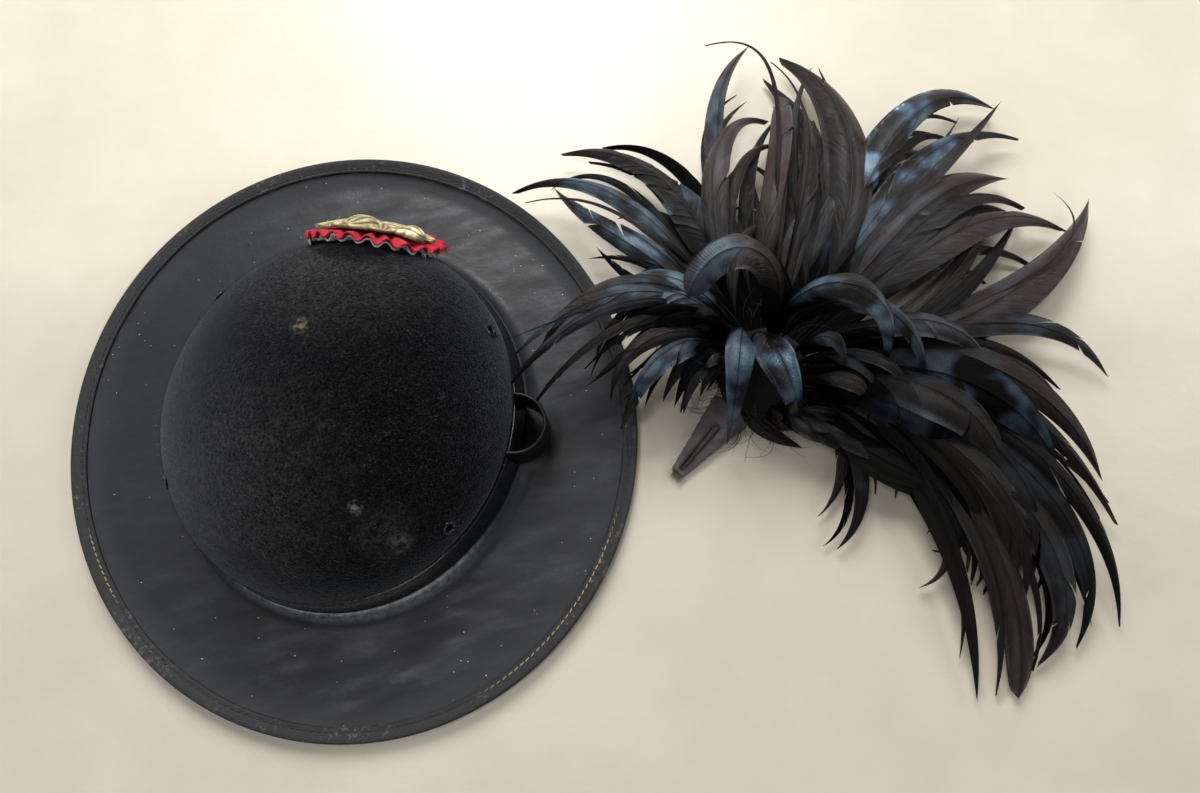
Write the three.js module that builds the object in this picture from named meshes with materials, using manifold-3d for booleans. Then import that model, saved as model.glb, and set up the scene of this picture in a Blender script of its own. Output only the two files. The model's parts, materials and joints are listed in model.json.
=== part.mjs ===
// Plumed military hat: a round felt crown on a wide leather brim, with a patent leather band, a pleated
// cockade and a leather plume pocket. The plume has been pulled out and lies on the table at the hat's right.
// Millimetres, +Z up, everything resting on z = 0. The hat's front is turned 9 degrees from +Y.
import * as THREE from 'three';
import { mergeVertices } from 'three/addons/utils/BufferGeometryUtils.js';
import Module from 'manifold-3d';

const wasm = await Module();
wasm.setup();

// Clearance between touching pieces, the distance under which corners of a cut solid are one,
// and the sides of everything that runs around the hat
const gap = 0.3;
const weld = 0.004;
const hatSides = 48;
const hatTurn = -9;

// Brim
const brimLongReach = 163.6;
const brimShortReach = 153.9;
const brimTurn = -59;
const brimShift = 1.7;
const brimShiftTurn = 236;
const brimThickness = 3;
const brimBreakRise = 6;
const brimEdgeLift = 4;
// Underside of the brim from the crown out to the edge, as shares of its reach, its break and its lift
const brimSections = [
  { out: 0, ofBreak: 1, ofLift: 0 },
  { out: 0.06, ofBreak: 0.4, ofLift: 0 },
  { out: 0.18, ofBreak: 0, ofLift: 0 },
  { out: 0.7, ofBreak: 0, ofLift: 0 },
  { out: 0.86, ofBreak: 0, ofLift: 0.4 },
  { out: 1, ofBreak: 0, ofLift: 1 },
];
const bindingWidth = 7.3;
const bindingThickness = 1;

// Crown, a felt shell that is drawn in under the band and swells over it
const crownHalfWidth = 93.3;
const crownHalfDepth = 100.4;
const crownHeight = 78;
const feltThickness = 3;
const bandHeight = 17.5;
const bandThickness = 1.6;
const bandLean = 4.1;
const feltSwell = 1.4;
const domeFullness = 1.95;
const domeSteps = 6;

// Eyelets: two on each side, as turns about +Z from the wearer's right
const eyeletHeight = 42;
const eyeletRadius = 3.7;
const eyeletBore = 1.9;
const eyeletWall = 0.7;
const eyeletFlange = 0.8;
const eyelets = [
  { name: 'eyelet_right_front', turn: 35 },
  { name: 'eyelet_right_back', turn: -35.5 },
  { name: 'eyelet_left_front', turn: 146 },
  { name: 'eyelet_left_back', turn: 215 },
];

// Plume pocket, a stiff leather loop standing out from the band
const pocketTurn = 4;
const pocketWidth = 33;
const pocketDepth = 16.5;
const pocketWall = 2;
const pocketHeight = 24;

// Cockade, bent about the crown and leaning back with it
const cockadeRadius = 37;
const cockadeHeight = 41;
const cockadeLean = 30;
const cockadeStandOff = 4;
const pleatCount = 20;
const pleatDepth = 2.2;
const ribbonThickness = 1;
const whiteRadius = 35;
// Gilt spray of plain ridged leaves in front of the ribbon: turn from upright, leaf length and half width as shares
const giltReach = 34;
const giltThickness = 1.4;
const giltRidge = 3;
const giltLeaves = [
  { turn: -94, long: 0.96, wide: 0.2 },
  { turn: -62, long: 0.88, wide: 0.22 },
  { turn: -31, long: 0.82, wide: 0.22 },
  { turn: 0, long: 0.84, wide: 0.22 },
  { turn: 31, long: 0.82, wide: 0.22 },
  { turn: 62, long: 0.88, wide: 0.22 },
  { turn: 94, long: 0.96, wide: 0.2 },
];

// Plume: its knot beside the hat, its reach, and how far feathers run inside the knot
const plumeSideReach = 222;
const plumeForwardReach = 24;
const plumeKnot = new THREE.Vector2(plumeSideReach, plumeForwardReach);
const plumeReach = 250;
const plumeHeight = 90;
const featherWidth = 30;
const featherThickness = 2.4;
const knotRadius = 31;
const knotHeight = 42;
const knotSides = 12;
const rootReach = 12;
const rootHeight = 16;
const rootHandleLength = 14;
const tipHandleLength = 10;
// Feathers by where the tip lies from the knot (bearing in degrees from +X, reach), the headings in which the
// feather leaves the knot and ends, its width, the height of its crest and tip, and a blunt tip where b is 1
const featherColumns = ['bearing', 'reach', 'leaves', 'ends', 'width', 'crest', 'tip', 'blunt'];
const feathers = [
  // Standing up the table
  [89, 0.82, 103, 52, 0.5, 0.36, 0.16, 0],
  [84, 0.8, 45, 142, 1, 0.33, 0.11, 0],
  [77, 0.79, 62, 105, 0.27, 0.24, 0.09, 0],
  [78, 0.79, 68, 62, 0.27, 0.22, 0.09, 0],
  [84, 0.67, 92, 88, 0.47, 0.4, 0.2, 1],
  [86, 0.59, 118, 0, 0.53, 0.47, 0.24, 0],
  [98, 0.57, 113, 75, 0.27, 0.28, 0.13, 0],
  [79, 0.68, 76, 95, 0.4, 0.31, 0.13, 0],
  [76, 0.64, 70, 85, 0.47, 0.27, 0.11, 1],
  [70, 0.46, 72, 55, 0.4, 0.31, 0.16, 0],
  // Towards and over the brim
  [129, 0.7, 104, 182, 0.6, 0.31, 0.14, 0],
  [120, 0.59, 110, 148, 0.73, 0.29, 0.11, 0],
  [142, 0.7, 116, 207, 0.33, 0.42, 0.2, 0],
  [136, 0.63, 138, 82, 0.5, 0.4, 0.22, 0],
  [177, 0.48, 128, 242, 0.4, 0.61, 0.24, 0],
  [179, 0.52, 132, 215, 0.33, 0.62, 0.44, 0],
  [161, 0.37, 128, 230, 0.43, 0.56, 0.24, 0],
  [167, 0.34, 135, 240, 0.43, 0.56, 0.24, 0],
  [164, 0.4, 132, 205, 0.43, 0.53, 0.24, 0],
  [203, 0.33, 155, 252, 0.47, 0.53, 0.2, 0],
  [192, 0.33, 150, 262, 0.33, 0.5, 0.2, 0],
  [196, 0.22, 165, 235, 0.4, 0.42, 0.1, 0],
  [189, 0.17, 170, 228, 0.4, 0.4, 0.1, 0],
  // Curling over the knot
  [145, 0.2, 75, 238, 1, 1, 0.5, 1],
  [243, 0.18, 130, 265, 0.8, 0.73, 0.18, 1],
  [298, 0.14, 60, 275, 0.87, 0.73, 0.18, 0],
  [1, 0.1, 73, 310, 0.4, 0.8, 0.5, 0],
  [354, 0.24, 52, 268, 0.63, 0.93, 0.33, 0],
  [346, 0.32, 44, 268, 0.43, 0.84, 0.24, 0],
  [343, 0.33, 32, 312, 0.33, 0.76, 0.29, 0],
  [339, 0.26, 24, 295, 0.33, 0.64, 0.31, 0],
  // Away from the hat
  [48, 0.88, 52, 52, 0.3, 0.29, 0.13, 0],
  [48, 0.86, 56, 338, 0.67, 0.31, 0.11, 0],
  [42, 0.84, 50, 350, 0.53, 0.29, 0.09, 0],
  [38, 0.74, 40, 5, 1, 0.31, 0.11, 0],
  [32, 0.72, 36, 335, 0.53, 0.29, 0.11, 0],
  [25, 0.77, 33, 338, 0.7, 0.29, 0.09, 0],
  [28, 0.85, 6, 62, 0.8, 0.29, 0.13, 0],
  [359, 0.74, 10, 305, 0.47, 0.27, 0.06, 0],
  // The long tail sweeping down the table
  [341, 0.73, 12, 300, 0.53, 0.38, 0.07, 0],
  [335, 0.78, 8, 305, 0.37, 0.38, 0.07, 0],
  [322, 0.86, 356, 272, 0.37, 0.36, 0.07, 0],
  [316, 0.82, 354, 245, 0.5, 0.33, 0.06, 0],
  [310, 0.79, 350, 225, 0.67, 0.33, 0.06, 0],
  [305, 0.81, 340, 262, 0.67, 0.29, 0.06, 1],
  [315, 0.69, 345, 262, 0.47, 0.42, 0.13, 0],
  [316, 0.63, 338, 258, 0.53, 0.42, 0.16, 1],
  [313, 0.64, 332, 245, 0.43, 0.27, 0.06, 1],
  [315, 0.55, 340, 238, 0.6, 0.36, 0.11, 1],
  [311, 0.5, 322, 160, 0.3, 0.22, 0.07, 0],
  [303, 0.54, 328, 188, 0.3, 0.22, 0.06, 0],
  [323, 0.39, 342, 282, 0.37, 0.29, 0.07, 0],
  [314, 0.38, 330, 255, 0.3, 0.24, 0.07, 0],
  [290, 0.4, 325, 218, 0.33, 0.2, 0.06, 0],
  [339, 0.62, 358, 310, 0.87, 0.51, 0.22, 0],
  [332, 0.53, 351, 300, 0.87, 0.56, 0.28, 0],
  [329, 0.44, 342, 300, 0.87, 0.51, 0.28, 0],
  [323, 0.67, 352, 280, 0.87, 0.44, 0.17, 0],
  [357, 0.47, 22, 308, 0.73, 0.56, 0.31, 0],
];
// Half width and thickness along a feather, as shares of its own
const featherSections = [
  { along: 0, pointed: 0.4, blunt: 0.4, thick: 1 },
  { along: 0.22, pointed: 0.75, blunt: 0.75, thick: 1 },
  { along: 0.46, pointed: 1, blunt: 1, thick: 1 },
  { along: 0.7, pointed: 0.92, blunt: 1, thick: 0.9 },
  { along: 0.9, pointed: 0.55, blunt: 0.9, thick: 0.7 },
  { along: 1, pointed: 0.08, blunt: 0.4, thick: 0.5 },
];

// Stem: a flat tapered wedge under the knot, with a wire hairpin on it
const stemHeading = 229;
const stemStartReach = 24;
const stemLength = 46;
const stemTipWidth = 8;
const stemRootWidth = 24;
const stemTipThickness = 5;
const stemRootThickness = 9;
const wireRadius = 0.65;
const hairpinWidth = 4.6;
const hairpinLength = 29;
const hairpinInset = 2;

const materials = {
  felt: new THREE.MeshStandardMaterial({ color: 0x17181c, roughness: 0.95, metalness: 0 }),
  leather: new THREE.MeshStandardMaterial({ color: 0x24262d, roughness: 0.5, metalness: 0 }),
  binding: new THREE.MeshStandardMaterial({ color: 0x30302f, roughness: 0.6, metalness: 0 }),
  patent: new THREE.MeshStandardMaterial({ color: 0x0b0c10, roughness: 0.2, metalness: 0 }),
  redRibbon: new THREE.MeshStandardMaterial({ color: 0xc9152f, roughness: 0.7, metalness: 0 }),
  whiteRibbon: new THREE.MeshStandardMaterial({ color: 0xc9c6c2, roughness: 0.8, metalness: 0 }),
  gilt: new THREE.MeshStandardMaterial({ color: 0xc9ae68, roughness: 0.35, metalness: 1 }),
  eyelet: new THREE.MeshStandardMaterial({ color: 0x15161a, roughness: 0.3, metalness: 0.8 }),
  feather: new THREE.MeshStandardMaterial({ color: 0x1c1a1c, roughness: 0.5, metalness: 0 }),
  cloth: new THREE.MeshStandardMaterial({ color: 0x4a4048, roughness: 0.9, metalness: 0 }),
  wire: new THREE.MeshStandardMaterial({ color: 0x2b2320, roughness: 0.35, metalness: 0.9 }),
};

const radians = THREE.MathUtils.degToRad;
const lerp = THREE.MathUtils.lerp;

function pieceMesh(name, geometry, material) {
  geometry.computeVertexNormals();
  const mesh = new THREE.Mesh(geometry, material);
  mesh.name = name;
  return mesh;
}

// Skins a row of rings of points: joined end to end, or closed by a fan about each end's middle
function loft(rings, joined = false, ends = []) {
  const sides = rings[0].length;
  const points = rings.flat();
  const faces = [];
  const steps = joined ? rings.length : rings.length - 1;
  for (let i = 0; i < steps; i += 1) {
    const here = i * sides;
    const next = ((i + 1) % rings.length) * sides;
    for (let k = 0; k < sides; k += 1) {
      const turn = (k + 1) % sides;
      faces.push([here + k, next + k, next + turn], [here + k, next + turn, here + turn]);
    }
  }
  if (!joined) {
    [0, rings.length - 1].forEach((ring, end) => {
      const middle = ends[end] ?? rings[ring].reduce((sum, p) => sum.add(p), new THREE.Vector3()).divideScalar(sides);
      points.push(middle);
      for (let k = 0; k < sides; k += 1) {
        const a = ring * sides + k;
        const b = ring * sides + ((k + 1) % sides);
        faces.push(end === 0 ? [points.length - 1, a, b] : [points.length - 1, b, a]);
      }
    });
  }
  return outward(points, faces);
}

// Turns every face out where the closed shape came out inside out
function outward(points, faces) {
  let volume = 0;
  faces.forEach(([a, b, c]) => {
    volume += points[a].dot(new THREE.Vector3().crossVectors(points[b], points[c]));
  });
  const ordered = volume < 0 ? faces.map(([a, b, c]) => [a, c, b]) : faces;
  const geometry = new THREE.BufferGeometry();
  geometry.setAttribute('position', new THREE.Float32BufferAttribute(points.flatMap((p) => [p.x, p.y, p.z]), 3));
  geometry.setIndex(ordered.flat());
  return geometry;
}

function toSolid(geometry) {
  const bare = geometry.clone();
  Object.keys(bare.attributes).filter((name) => name !== 'position').forEach((name) => bare.deleteAttribute(name));
  const merged = mergeVertices(bare, 1e-4);
  return new wasm.Manifold(new wasm.Mesh({
    numProp: 3,
    vertProperties: new Float32Array(merged.attributes.position.array),
    triVerts: new Uint32Array(merged.index.array),
  }));
}

function fromSolid(solid) {
  const mesh = solid.getMesh();
  const geometry = new THREE.BufferGeometry();
  geometry.setAttribute('position', new THREE.Float32BufferAttribute(mesh.vertProperties, 3));
  geometry.setIndex(Array.from(mesh.triVerts));
  return geometry;
}

// Largest skin of a fused solid: the closed pockets between its pieces are filled
function mainSkin(solid) {
  const mesh = solid.getMesh();
  const corners = Array.from({ length: mesh.vertProperties.length / 3 },
    (_, k) => new THREE.Vector3().fromArray(mesh.vertProperties, 3 * k));
  const faces = Array.from({ length: mesh.triVerts.length / 3 },
    (_, f) => Array.from(mesh.triVerts.slice(3 * f, 3 * f + 3)));
  const parent = corners.map((_, k) => k);
  const find = (k) => {
    let top = k;
    while (parent[top] !== top) top = parent[top];
    parent[k] = top;
    return top;
  };
  faces.forEach(([a, b, c]) => {
    parent[find(a)] = find(b);
    parent[find(b)] = find(c);
  });
  const volumes = new Map();
  faces.forEach(([a, b, c]) => {
    const wedge = corners[a].dot(new THREE.Vector3().crossVectors(corners[b], corners[c]));
    volumes.set(find(a), (volumes.get(find(a)) ?? 0) + wedge);
  });
  const largest = Math.max(...volumes.values());
  return { corners, faces: faces.filter(([a]) => volumes.get(find(a)) === largest) };
}

// Corners closer than the weld become one, and the slivers and back-to-back faces that this leaves go
function welded({ corners, faces }) {
  const same = corners.map((corner, k) => corners.findIndex((other, j) => j === k || other.distanceTo(corner) < weld));
  const whole = faces.map((face) => face.map((k) => same[k])).filter(([a, b, c]) => a !== b && b !== c && c !== a);
  const key = (face) => face.toSorted((a, b) => a - b).join();
  const uses = new Map();
  whole.forEach((face) => uses.set(key(face), (uses.get(key(face)) ?? 0) + 1));
  return outward(corners, whole.filter((face) => uses.get(key(face)) === 1));
}

function placed(geometry, ...moves) {
  return moves.reduce((shape, move) => shape.applyMatrix4(move), geometry.clone());
}

// Hat: angles run counter-clockwise from the wearer's right, the front is at 90 degrees
function ovalReach(halfWidth, halfDepth, angle) {
  return 1 / Math.hypot(Math.cos(angle) / halfWidth, Math.sin(angle) / halfDepth);
}

function onRay(angle, reach, height) {
  return new THREE.Vector3(reach * Math.cos(angle), reach * Math.sin(angle), height);
}

function around(sectionAt) {
  return Array.from({ length: hatSides }, (_, i) => sectionAt((i / hatSides) * 2 * Math.PI));
}

const bandFoot = brimBreakRise + brimThickness + gap;
const bandTop = bandFoot + bandHeight;
const domeFoot = bandTop + gap;

function brimEdge(angle) {
  const shift = brimShift * Math.cos(angle - radians(brimShiftTurn));
  return ovalReach(brimLongReach, brimShortReach, angle - radians(brimTurn)) + shift;
}

function brimHole(angle) {
  return ovalReach(crownHalfWidth, crownHalfDepth, angle) + gap;
}

function brimUnderside(share) {
  const next = Math.max(1, brimSections.findIndex((section) => section.out >= share));
  const [a, b] = [brimSections[next - 1], brimSections[next]];
  const t = (share - a.out) / (b.out - a.out);
  return brimBreakRise * lerp(a.ofBreak, b.ofBreak, t) + brimEdgeLift * lerp(a.ofLift, b.ofLift, t);
}

function brimPoint(angle, share, above) {
  return onRay(angle, lerp(brimHole(angle), brimEdge(angle), share), brimUnderside(share) + above);
}

function makeBrim() {
  const shares = brimSections.map((section) => section.out);
  const rings = around((angle) => [
    ...shares.map((share) => brimPoint(angle, share, 0)),
    ...shares.toReversed().map((share) => brimPoint(angle, share, brimThickness)),
  ]);
  return pieceMesh('brim', loft(rings, true), materials.leather);
}

// Folded leather strip around the brim's edge, open towards the crown
function makeBinding() {
  const rings = around((angle) => {
    const reach = brimEdge(angle) - brimHole(angle);
    const inner = 1 - bindingWidth / reach;
    const edge = brimPoint(angle, 1, 0);
    const radial = new THREE.Vector3(Math.cos(angle), Math.sin(angle), 0);
    const lip = (out, above) => edge.clone().addScaledVector(radial, out).add(new THREE.Vector3(0, 0, above));
    const over = brimThickness + gap;
    return [
      brimPoint(angle, inner, -gap - bindingThickness),
      lip(gap + bindingThickness, -gap),
      lip(gap + bindingThickness, over),
      brimPoint(angle, inner, over + bindingThickness),
      brimPoint(angle, inner, over),
      lip(gap, over),
      lip(gap, -gap),
      brimPoint(angle, inner, -gap),
    ];
  });
  return pieceMesh('brim_binding', loft(rings, true), materials.binding);
}

// Horizontal section of the crown at a height, grown by an offset
function crownReach(angle, height, offset = 0) {
  const foot = brimBreakRise;
  const wide = crownHalfWidth + offset;
  const deep = crownHalfDepth + offset;
  if (height <= bandTop) {
    const drawn = bandLean * THREE.MathUtils.clamp((height - foot) / (bandTop - foot), 0, 1);
    return ovalReach(wide - drawn, deep - drawn, angle);
  }
  const rise = Math.min(1, (height - domeFoot) / (crownHeight + offset - domeFoot));
  const round = Math.max(0, 1 - Math.max(0, rise) ** domeFullness) ** (1 / 2);
  const drawn = bandLean - feltSwell;
  return ovalReach((wide - drawn) * round, (deep - drawn) * round, angle);
}

function crownRing(height, offset = 0) {
  return around((angle) => onRay(angle, crownReach(angle, height, offset), height));
}

function domeHeights(steps, offset) {
  return Array.from({ length: steps }, (_, i) => {
    const share = Math.sin((i / (steps - 0.35)) * (Math.PI / 2));
    return lerp(domeFoot, crownHeight + offset, share);
  });
}

function makeCrown() {
  const outer = [
    ...domeHeights(domeSteps, 0).toReversed().map((height) => crownRing(height)),
    crownRing(bandTop),
    crownRing(brimBreakRise),
  ];
  const inner = [
    crownRing(brimBreakRise, -feltThickness),
    crownRing(bandTop, -feltThickness),
    ...domeHeights(domeSteps - 1, -feltThickness).slice(1).map((height) => crownRing(height, -feltThickness)),
  ];
  const apex = [onRay(0, 0, crownHeight), onRay(0, 0, crownHeight - feltThickness)];
  const shell = loft([...outer, ...inner], false, apex);
  const holes = eyelets.map(({ turn }) => {
    const holeRadius = eyeletBore + eyeletWall + gap;
    const hole = new THREE.CylinderGeometry(holeRadius, holeRadius, feltThickness * 10, 10);
    return toSolid(placed(hole, new THREE.Matrix4().makeRotationX(Math.PI / 2), eyeletPlace(turn)));
  });
  const pierced = holes.reduce((solid, hole) => solid.subtract(hole), toSolid(shell));
  return pieceMesh('crown', fromSolid(pierced), materials.felt);
}

// Turns +Z to the crown's outward direction at an eyelet
function eyeletPlace(turn) {
  const angle = radians(turn);
  const step = 1;
  const at = onRay(angle, crownReach(angle, eyeletHeight), eyeletHeight);
  const above = onRay(angle, crownReach(angle, eyeletHeight + step), eyeletHeight + step);
  const beside = onRay(angle + 0.01, crownReach(angle + 0.01, eyeletHeight), eyeletHeight);
  const normal = new THREE.Vector3().crossVectors(beside.sub(at), above.sub(at)).normalize();
  const spin = new THREE.Quaternion().setFromUnitVectors(new THREE.Vector3(0, 0, 1), normal);
  return new THREE.Matrix4().compose(at, spin, new THREE.Vector3(1, 1, 1));
}

// Ring with a barrel through the felt and a rounded flange outside it
function makeEyelets() {
  const barrel = eyeletBore + eyeletWall;
  const profile = [
    [eyeletBore, -feltThickness],
    [barrel, -feltThickness],
    [barrel, gap],
    [eyeletRadius, gap],
    [eyeletRadius - eyeletFlange / 2, gap + eyeletFlange],
    [eyeletBore, gap + eyeletFlange],
    [eyeletBore, -feltThickness],
  ].map(([r, z]) => new THREE.Vector2(r, z));
  return eyelets.map(({ name, turn }) => {
    const ring = placed(new THREE.LatheGeometry(profile, 9), new THREE.Matrix4().makeRotationX(Math.PI / 2));
    return pieceMesh(name, fromSolid(toSolid(placed(ring, eyeletPlace(turn)))), materials.eyelet);
  });
}

function bandRing(height, offset) {
  return (angle) => onRay(angle, crownReach(angle, height) + offset, height);
}

function makeBand() {
  const rings = around((angle) => [
    bandRing(bandFoot, gap)(angle),
    bandRing(bandFoot, gap + bandThickness)(angle),
    bandRing(bandTop, gap + bandThickness)(angle),
    bandRing(bandTop, gap)(angle),
  ]);
  return pieceMesh('hat_band', loft(rings, true), materials.patent);
}

// Everything that the pocket has to keep clear of: band and felt, grown by the clearance
function bandEnvelope() {
  const offset = bandThickness + 2 * gap;
  const rings = [bandFoot - bandHeight, bandFoot, bandTop].map((height) => around(bandRing(height, offset)));
  rings.push(around(bandRing(crownHeight / 2, offset)));
  return toSolid(loft(rings));
}

// D-shaped loop, extruded upright and cut to the band behind it
function makePocket() {
  const start = crownReach(radians(pocketTurn), bandFoot);
  const outline = (depth, halfWidth) => {
    const shape = new THREE.Shape();
    shape.moveTo(-pocketDepth, -halfWidth);
    shape.lineTo(0, -halfWidth);
    shape.absellipse(0, 0, depth, halfWidth, -Math.PI / 2, Math.PI / 2, false);
    shape.lineTo(-pocketDepth, halfWidth);
    shape.closePath();
    return shape;
  };
  const extrude = (shape, depth) => new THREE.ExtrudeGeometry(shape, { depth, bevelEnabled: false, curveSegments: 9 });
  const place = [
    new THREE.Matrix4().makeTranslation(start, 0, bandFoot),
    new THREE.Matrix4().makeRotationZ(radians(pocketTurn)),
  ];
  const body = toSolid(placed(extrude(outline(pocketDepth, pocketWidth / 2), pocketHeight), ...place));
  const inside = extrude(outline(pocketDepth - pocketWall, pocketWidth / 2 - pocketWall), pocketHeight * 3);
  const cavity = toSolid(placed(inside, new THREE.Matrix4().makeTranslation(0, 0, -pocketHeight), ...place));
  const loop = body.subtract(cavity).subtract(bandEnvelope());
  return pieceMesh('plume_pocket', fromSolid(loop), materials.patent);
}

// Point of the bent and leaning cockade: across and up its face, and out from it
function cockadePoint(across, up, out) {
  const lean = radians(cockadeLean);
  const seat = crownReach(Math.PI / 2, cockadeHeight) + cockadeStandOff;
  const reach = seat - up * Math.sin(lean) + out * Math.cos(lean);
  const height = cockadeHeight + up * Math.cos(lean) + out * Math.sin(lean);
  return onRay(Math.PI / 2 - across / seat, reach, height);
}

// Round of ribbon in zigzag pleats that deepen from its middle to its edge
function pleatedDisc(name, radius, back, material) {
  const sides = pleatCount * 2;
  const ring = (share, out) => Array.from({ length: sides }, (_, k) => {
    const angle = (k / sides) * 2 * Math.PI;
    const fold = (k % 2 === 0 ? 1 : -1) * pleatDepth * share * (radius / cockadeRadius);
    return cockadePoint(radius * share * Math.cos(angle), radius * share * Math.sin(angle), out + fold);
  });
  const front = back + ribbonThickness;
  const shares = [0.35, 1];
  const rings = [
    ...shares.map((share) => ring(share, front)),
    ...shares.toReversed().map((share) => ring(share, back)),
  ];
  const ends = [cockadePoint(0, 0, front), cockadePoint(0, 0, back)];
  return pieceMesh(name, loft(rings, false, ends), material);
}

// Leaves fused at their roots, each with a raised midrib
function makeGilt() {
  const crest = pleatDepth * (giltReach / cockadeRadius);
  const back = ribbonThickness / 2 + crest + gap;
  const leaf = ({ turn, long, wide }) => {
    const angle = radians(turn);
    const at = (along, side, out) => {
      const reach = along * long * giltReach;
      const offset = side * wide * giltReach;
      const across = reach * Math.sin(angle) + offset * Math.cos(angle);
      return cockadePoint(across, reach * Math.cos(angle) - offset * Math.sin(angle), out);
    };
    const section = (along, side, ridge) => [
      at(along, -side, back),
      at(along, side, back),
      at(along, side, back + giltThickness),
      at(along, 0, back + giltThickness + giltRidge * ridge),
      at(along, -side, back + giltThickness),
    ];
    return toSolid(loft([section(-0.12, 0.6, 0.7), section(0.6, 1, 0.9), section(1, 0.3, 0.2)]));
  };
  const spray = giltLeaves.map(leaf).reduce((sum, solid) => sum.add(solid));
  return pieceMesh('gilt_spray', fromSolid(spray), materials.gilt);
}

// Middle line of a feather: one smooth sweep in plan, rising to its crest on the way
function featherCourse(feather) {
  const heading = (degrees) => new THREE.Vector2(Math.cos(radians(degrees)), Math.sin(radians(degrees)));
  const reach = feather.reach * plumeReach;
  const root = heading(feather.leaves).multiplyScalar(rootReach);
  const tip = heading(feather.bearing).multiplyScalar(reach);
  const first = root.clone().addScaledVector(heading(feather.leaves), Math.max(0.42 * reach, rootHandleLength));
  const last = tip.clone().addScaledVector(heading(feather.ends), -Math.max(0.3 * reach, tipHandleLength));
  const plan = new THREE.CubicBezierCurve(root, first, last, tip);
  const tipHeight = feather.tip * plumeHeight;
  const crest = 2 * feather.crest * plumeHeight - (rootHeight + tipHeight) / 2;
  return (t) => {
    const flat = plan.getPoint(t).add(plumeKnot);
    const rise = (1 - t) ** 2 * rootHeight + 2 * t * (1 - t) * crest + t * t * tipHeight;
    return new THREE.Vector3(flat.x, flat.y, rise);
  };
}

// Low ridged section swept along the course
function featherSolid(row) {
  const feather = Object.fromEntries(featherColumns.map((column, i) => [column, row[i]]));
  const course = featherCourse(feather);
  const rings = featherSections.map(({ along, pointed, blunt, thick }) => {
    const at = course(along);
    const ahead = course(Math.min(1, along + 0.02)).sub(course(Math.max(0, along - 0.02))).normalize();
    const side = new THREE.Vector3(-ahead.y, ahead.x, 0).normalize();
    const up = new THREE.Vector3().crossVectors(ahead, side);
    const half = (feather.width * featherWidth / 2) * (feather.blunt ? blunt : pointed);
    const corner = (across, above) => at.clone().addScaledVector(side, across * half)
      .addScaledVector(up, above * featherThickness * thick);
    const corners = [corner(-1, -0.5), corner(0, 0.5), corner(1, -0.5)];
    return corners.map((point) => point.setZ(Math.max(point.z, gap)));
  });
  return toSolid(loft(rings));
}

function stemSections(grown) {
  const heading = new THREE.Vector2(Math.cos(radians(stemHeading)), Math.sin(radians(stemHeading)));
  return [-grown / stemLength, 0.35, 0.7, 1 + grown / stemLength].map((share) => {
    const halfWidth = lerp(stemRootWidth, stemTipWidth, share) / 2 + grown;
    const low = -grown;
    const high = lerp(stemRootThickness, stemTipThickness, share) + grown;
    const middle = plumeKnot.clone().addScaledVector(heading, stemStartReach + share * stemLength);
    const corner = (across, height) => new THREE.Vector3(
      middle.x - heading.y * across * halfWidth,
      middle.y + heading.x * across * halfWidth,
      lerp(low, high, height),
    );
    return [corner(-0.8, 0), corner(0.8, 0), corner(1, 0.35), corner(0.7, 1), corner(-0.7, 1), corner(-1, 0.35)];
  });
}

function makeStem() {
  return pieceMesh('plume_stem', loft(stemSections(0)), materials.cloth);
}

// Hairpin: one wire out along the stem, around its bend and back
function makeHairpin() {
  const heading = new THREE.Vector2(Math.cos(radians(stemHeading)), Math.sin(radians(stemHeading)));
  const half = (hairpinWidth - 2 * wireRadius) / 2;
  const stations = [];
  const end = stemLength - hairpinInset;
  for (let i = 0; i <= 4; i += 1) stations.push([lerp(end, end - hairpinLength, i / 4), half * lerp(0.55, 1, i / 4)]);
  for (let i = 1; i <= 5; i += 1) {
    const angle = (i / 6) * Math.PI;
    stations.push([end - hairpinLength - half * Math.sin(angle), half * Math.cos(angle)]);
  }
  for (let i = 4; i >= 0; i -= 1) stations.push([lerp(end, end - hairpinLength, i / 4), -half * lerp(0.55, 1, i / 4)]);
  const points = stations.map(([along, across]) => {
    const share = along / stemLength;
    const middle = plumeKnot.clone().addScaledVector(heading, stemStartReach + along);
    const height = lerp(stemRootThickness, stemTipThickness, share) + gap + wireRadius;
    return new THREE.Vector3(middle.x - heading.y * across, middle.y + heading.x * across, height);
  });
  const rings = points.map((point, i) => {
    const ahead = points[Math.min(i + 1, points.length - 1)].clone().sub(points[Math.max(i - 1, 0)]).normalize();
    const side = new THREE.Vector3(0, 0, 1).cross(ahead).normalize();
    return Array.from({ length: 6 }, (_, k) => {
      const angle = (k / 6) * 2 * Math.PI;
      const up = new THREE.Vector3().crossVectors(ahead, side);
      return point.clone().addScaledVector(side, wireRadius * Math.cos(angle))
        .addScaledVector(up, wireRadius * Math.sin(angle));
    });
  });
  return pieceMesh('hairpin', loft(rings), materials.wire);
}

// Feathers fused to the bound knot that carries them, cut clear of the stem that is tied in below
function makePlume() {
  const shares = [[0.72, 0], [1, 0.25], [0.95, 0.6], [0.6, 0.92]];
  const knot = loft(shares.map(([wide, high]) => Array.from({ length: knotSides }, (_, k) => {
    const angle = (k / knotSides) * 2 * Math.PI;
    const flat = new THREE.Vector2(Math.cos(angle), Math.sin(angle)).multiplyScalar(knotRadius * wide).add(plumeKnot);
    return new THREE.Vector3(flat.x, flat.y, knotHeight * high);
  })), false, [
    new THREE.Vector3(plumeKnot.x, plumeKnot.y, 0),
    new THREE.Vector3(plumeKnot.x, plumeKnot.y, knotHeight),
  ]);
  const bundle = feathers.map(featherSolid).reduce((sum, solid) => sum.add(solid), toSolid(knot));
  const clear = bundle.subtract(toSolid(loft(stemSections(gap))));
  return pieceMesh('plume', welded(mainSkin(clear)), materials.feather);
}

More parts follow.
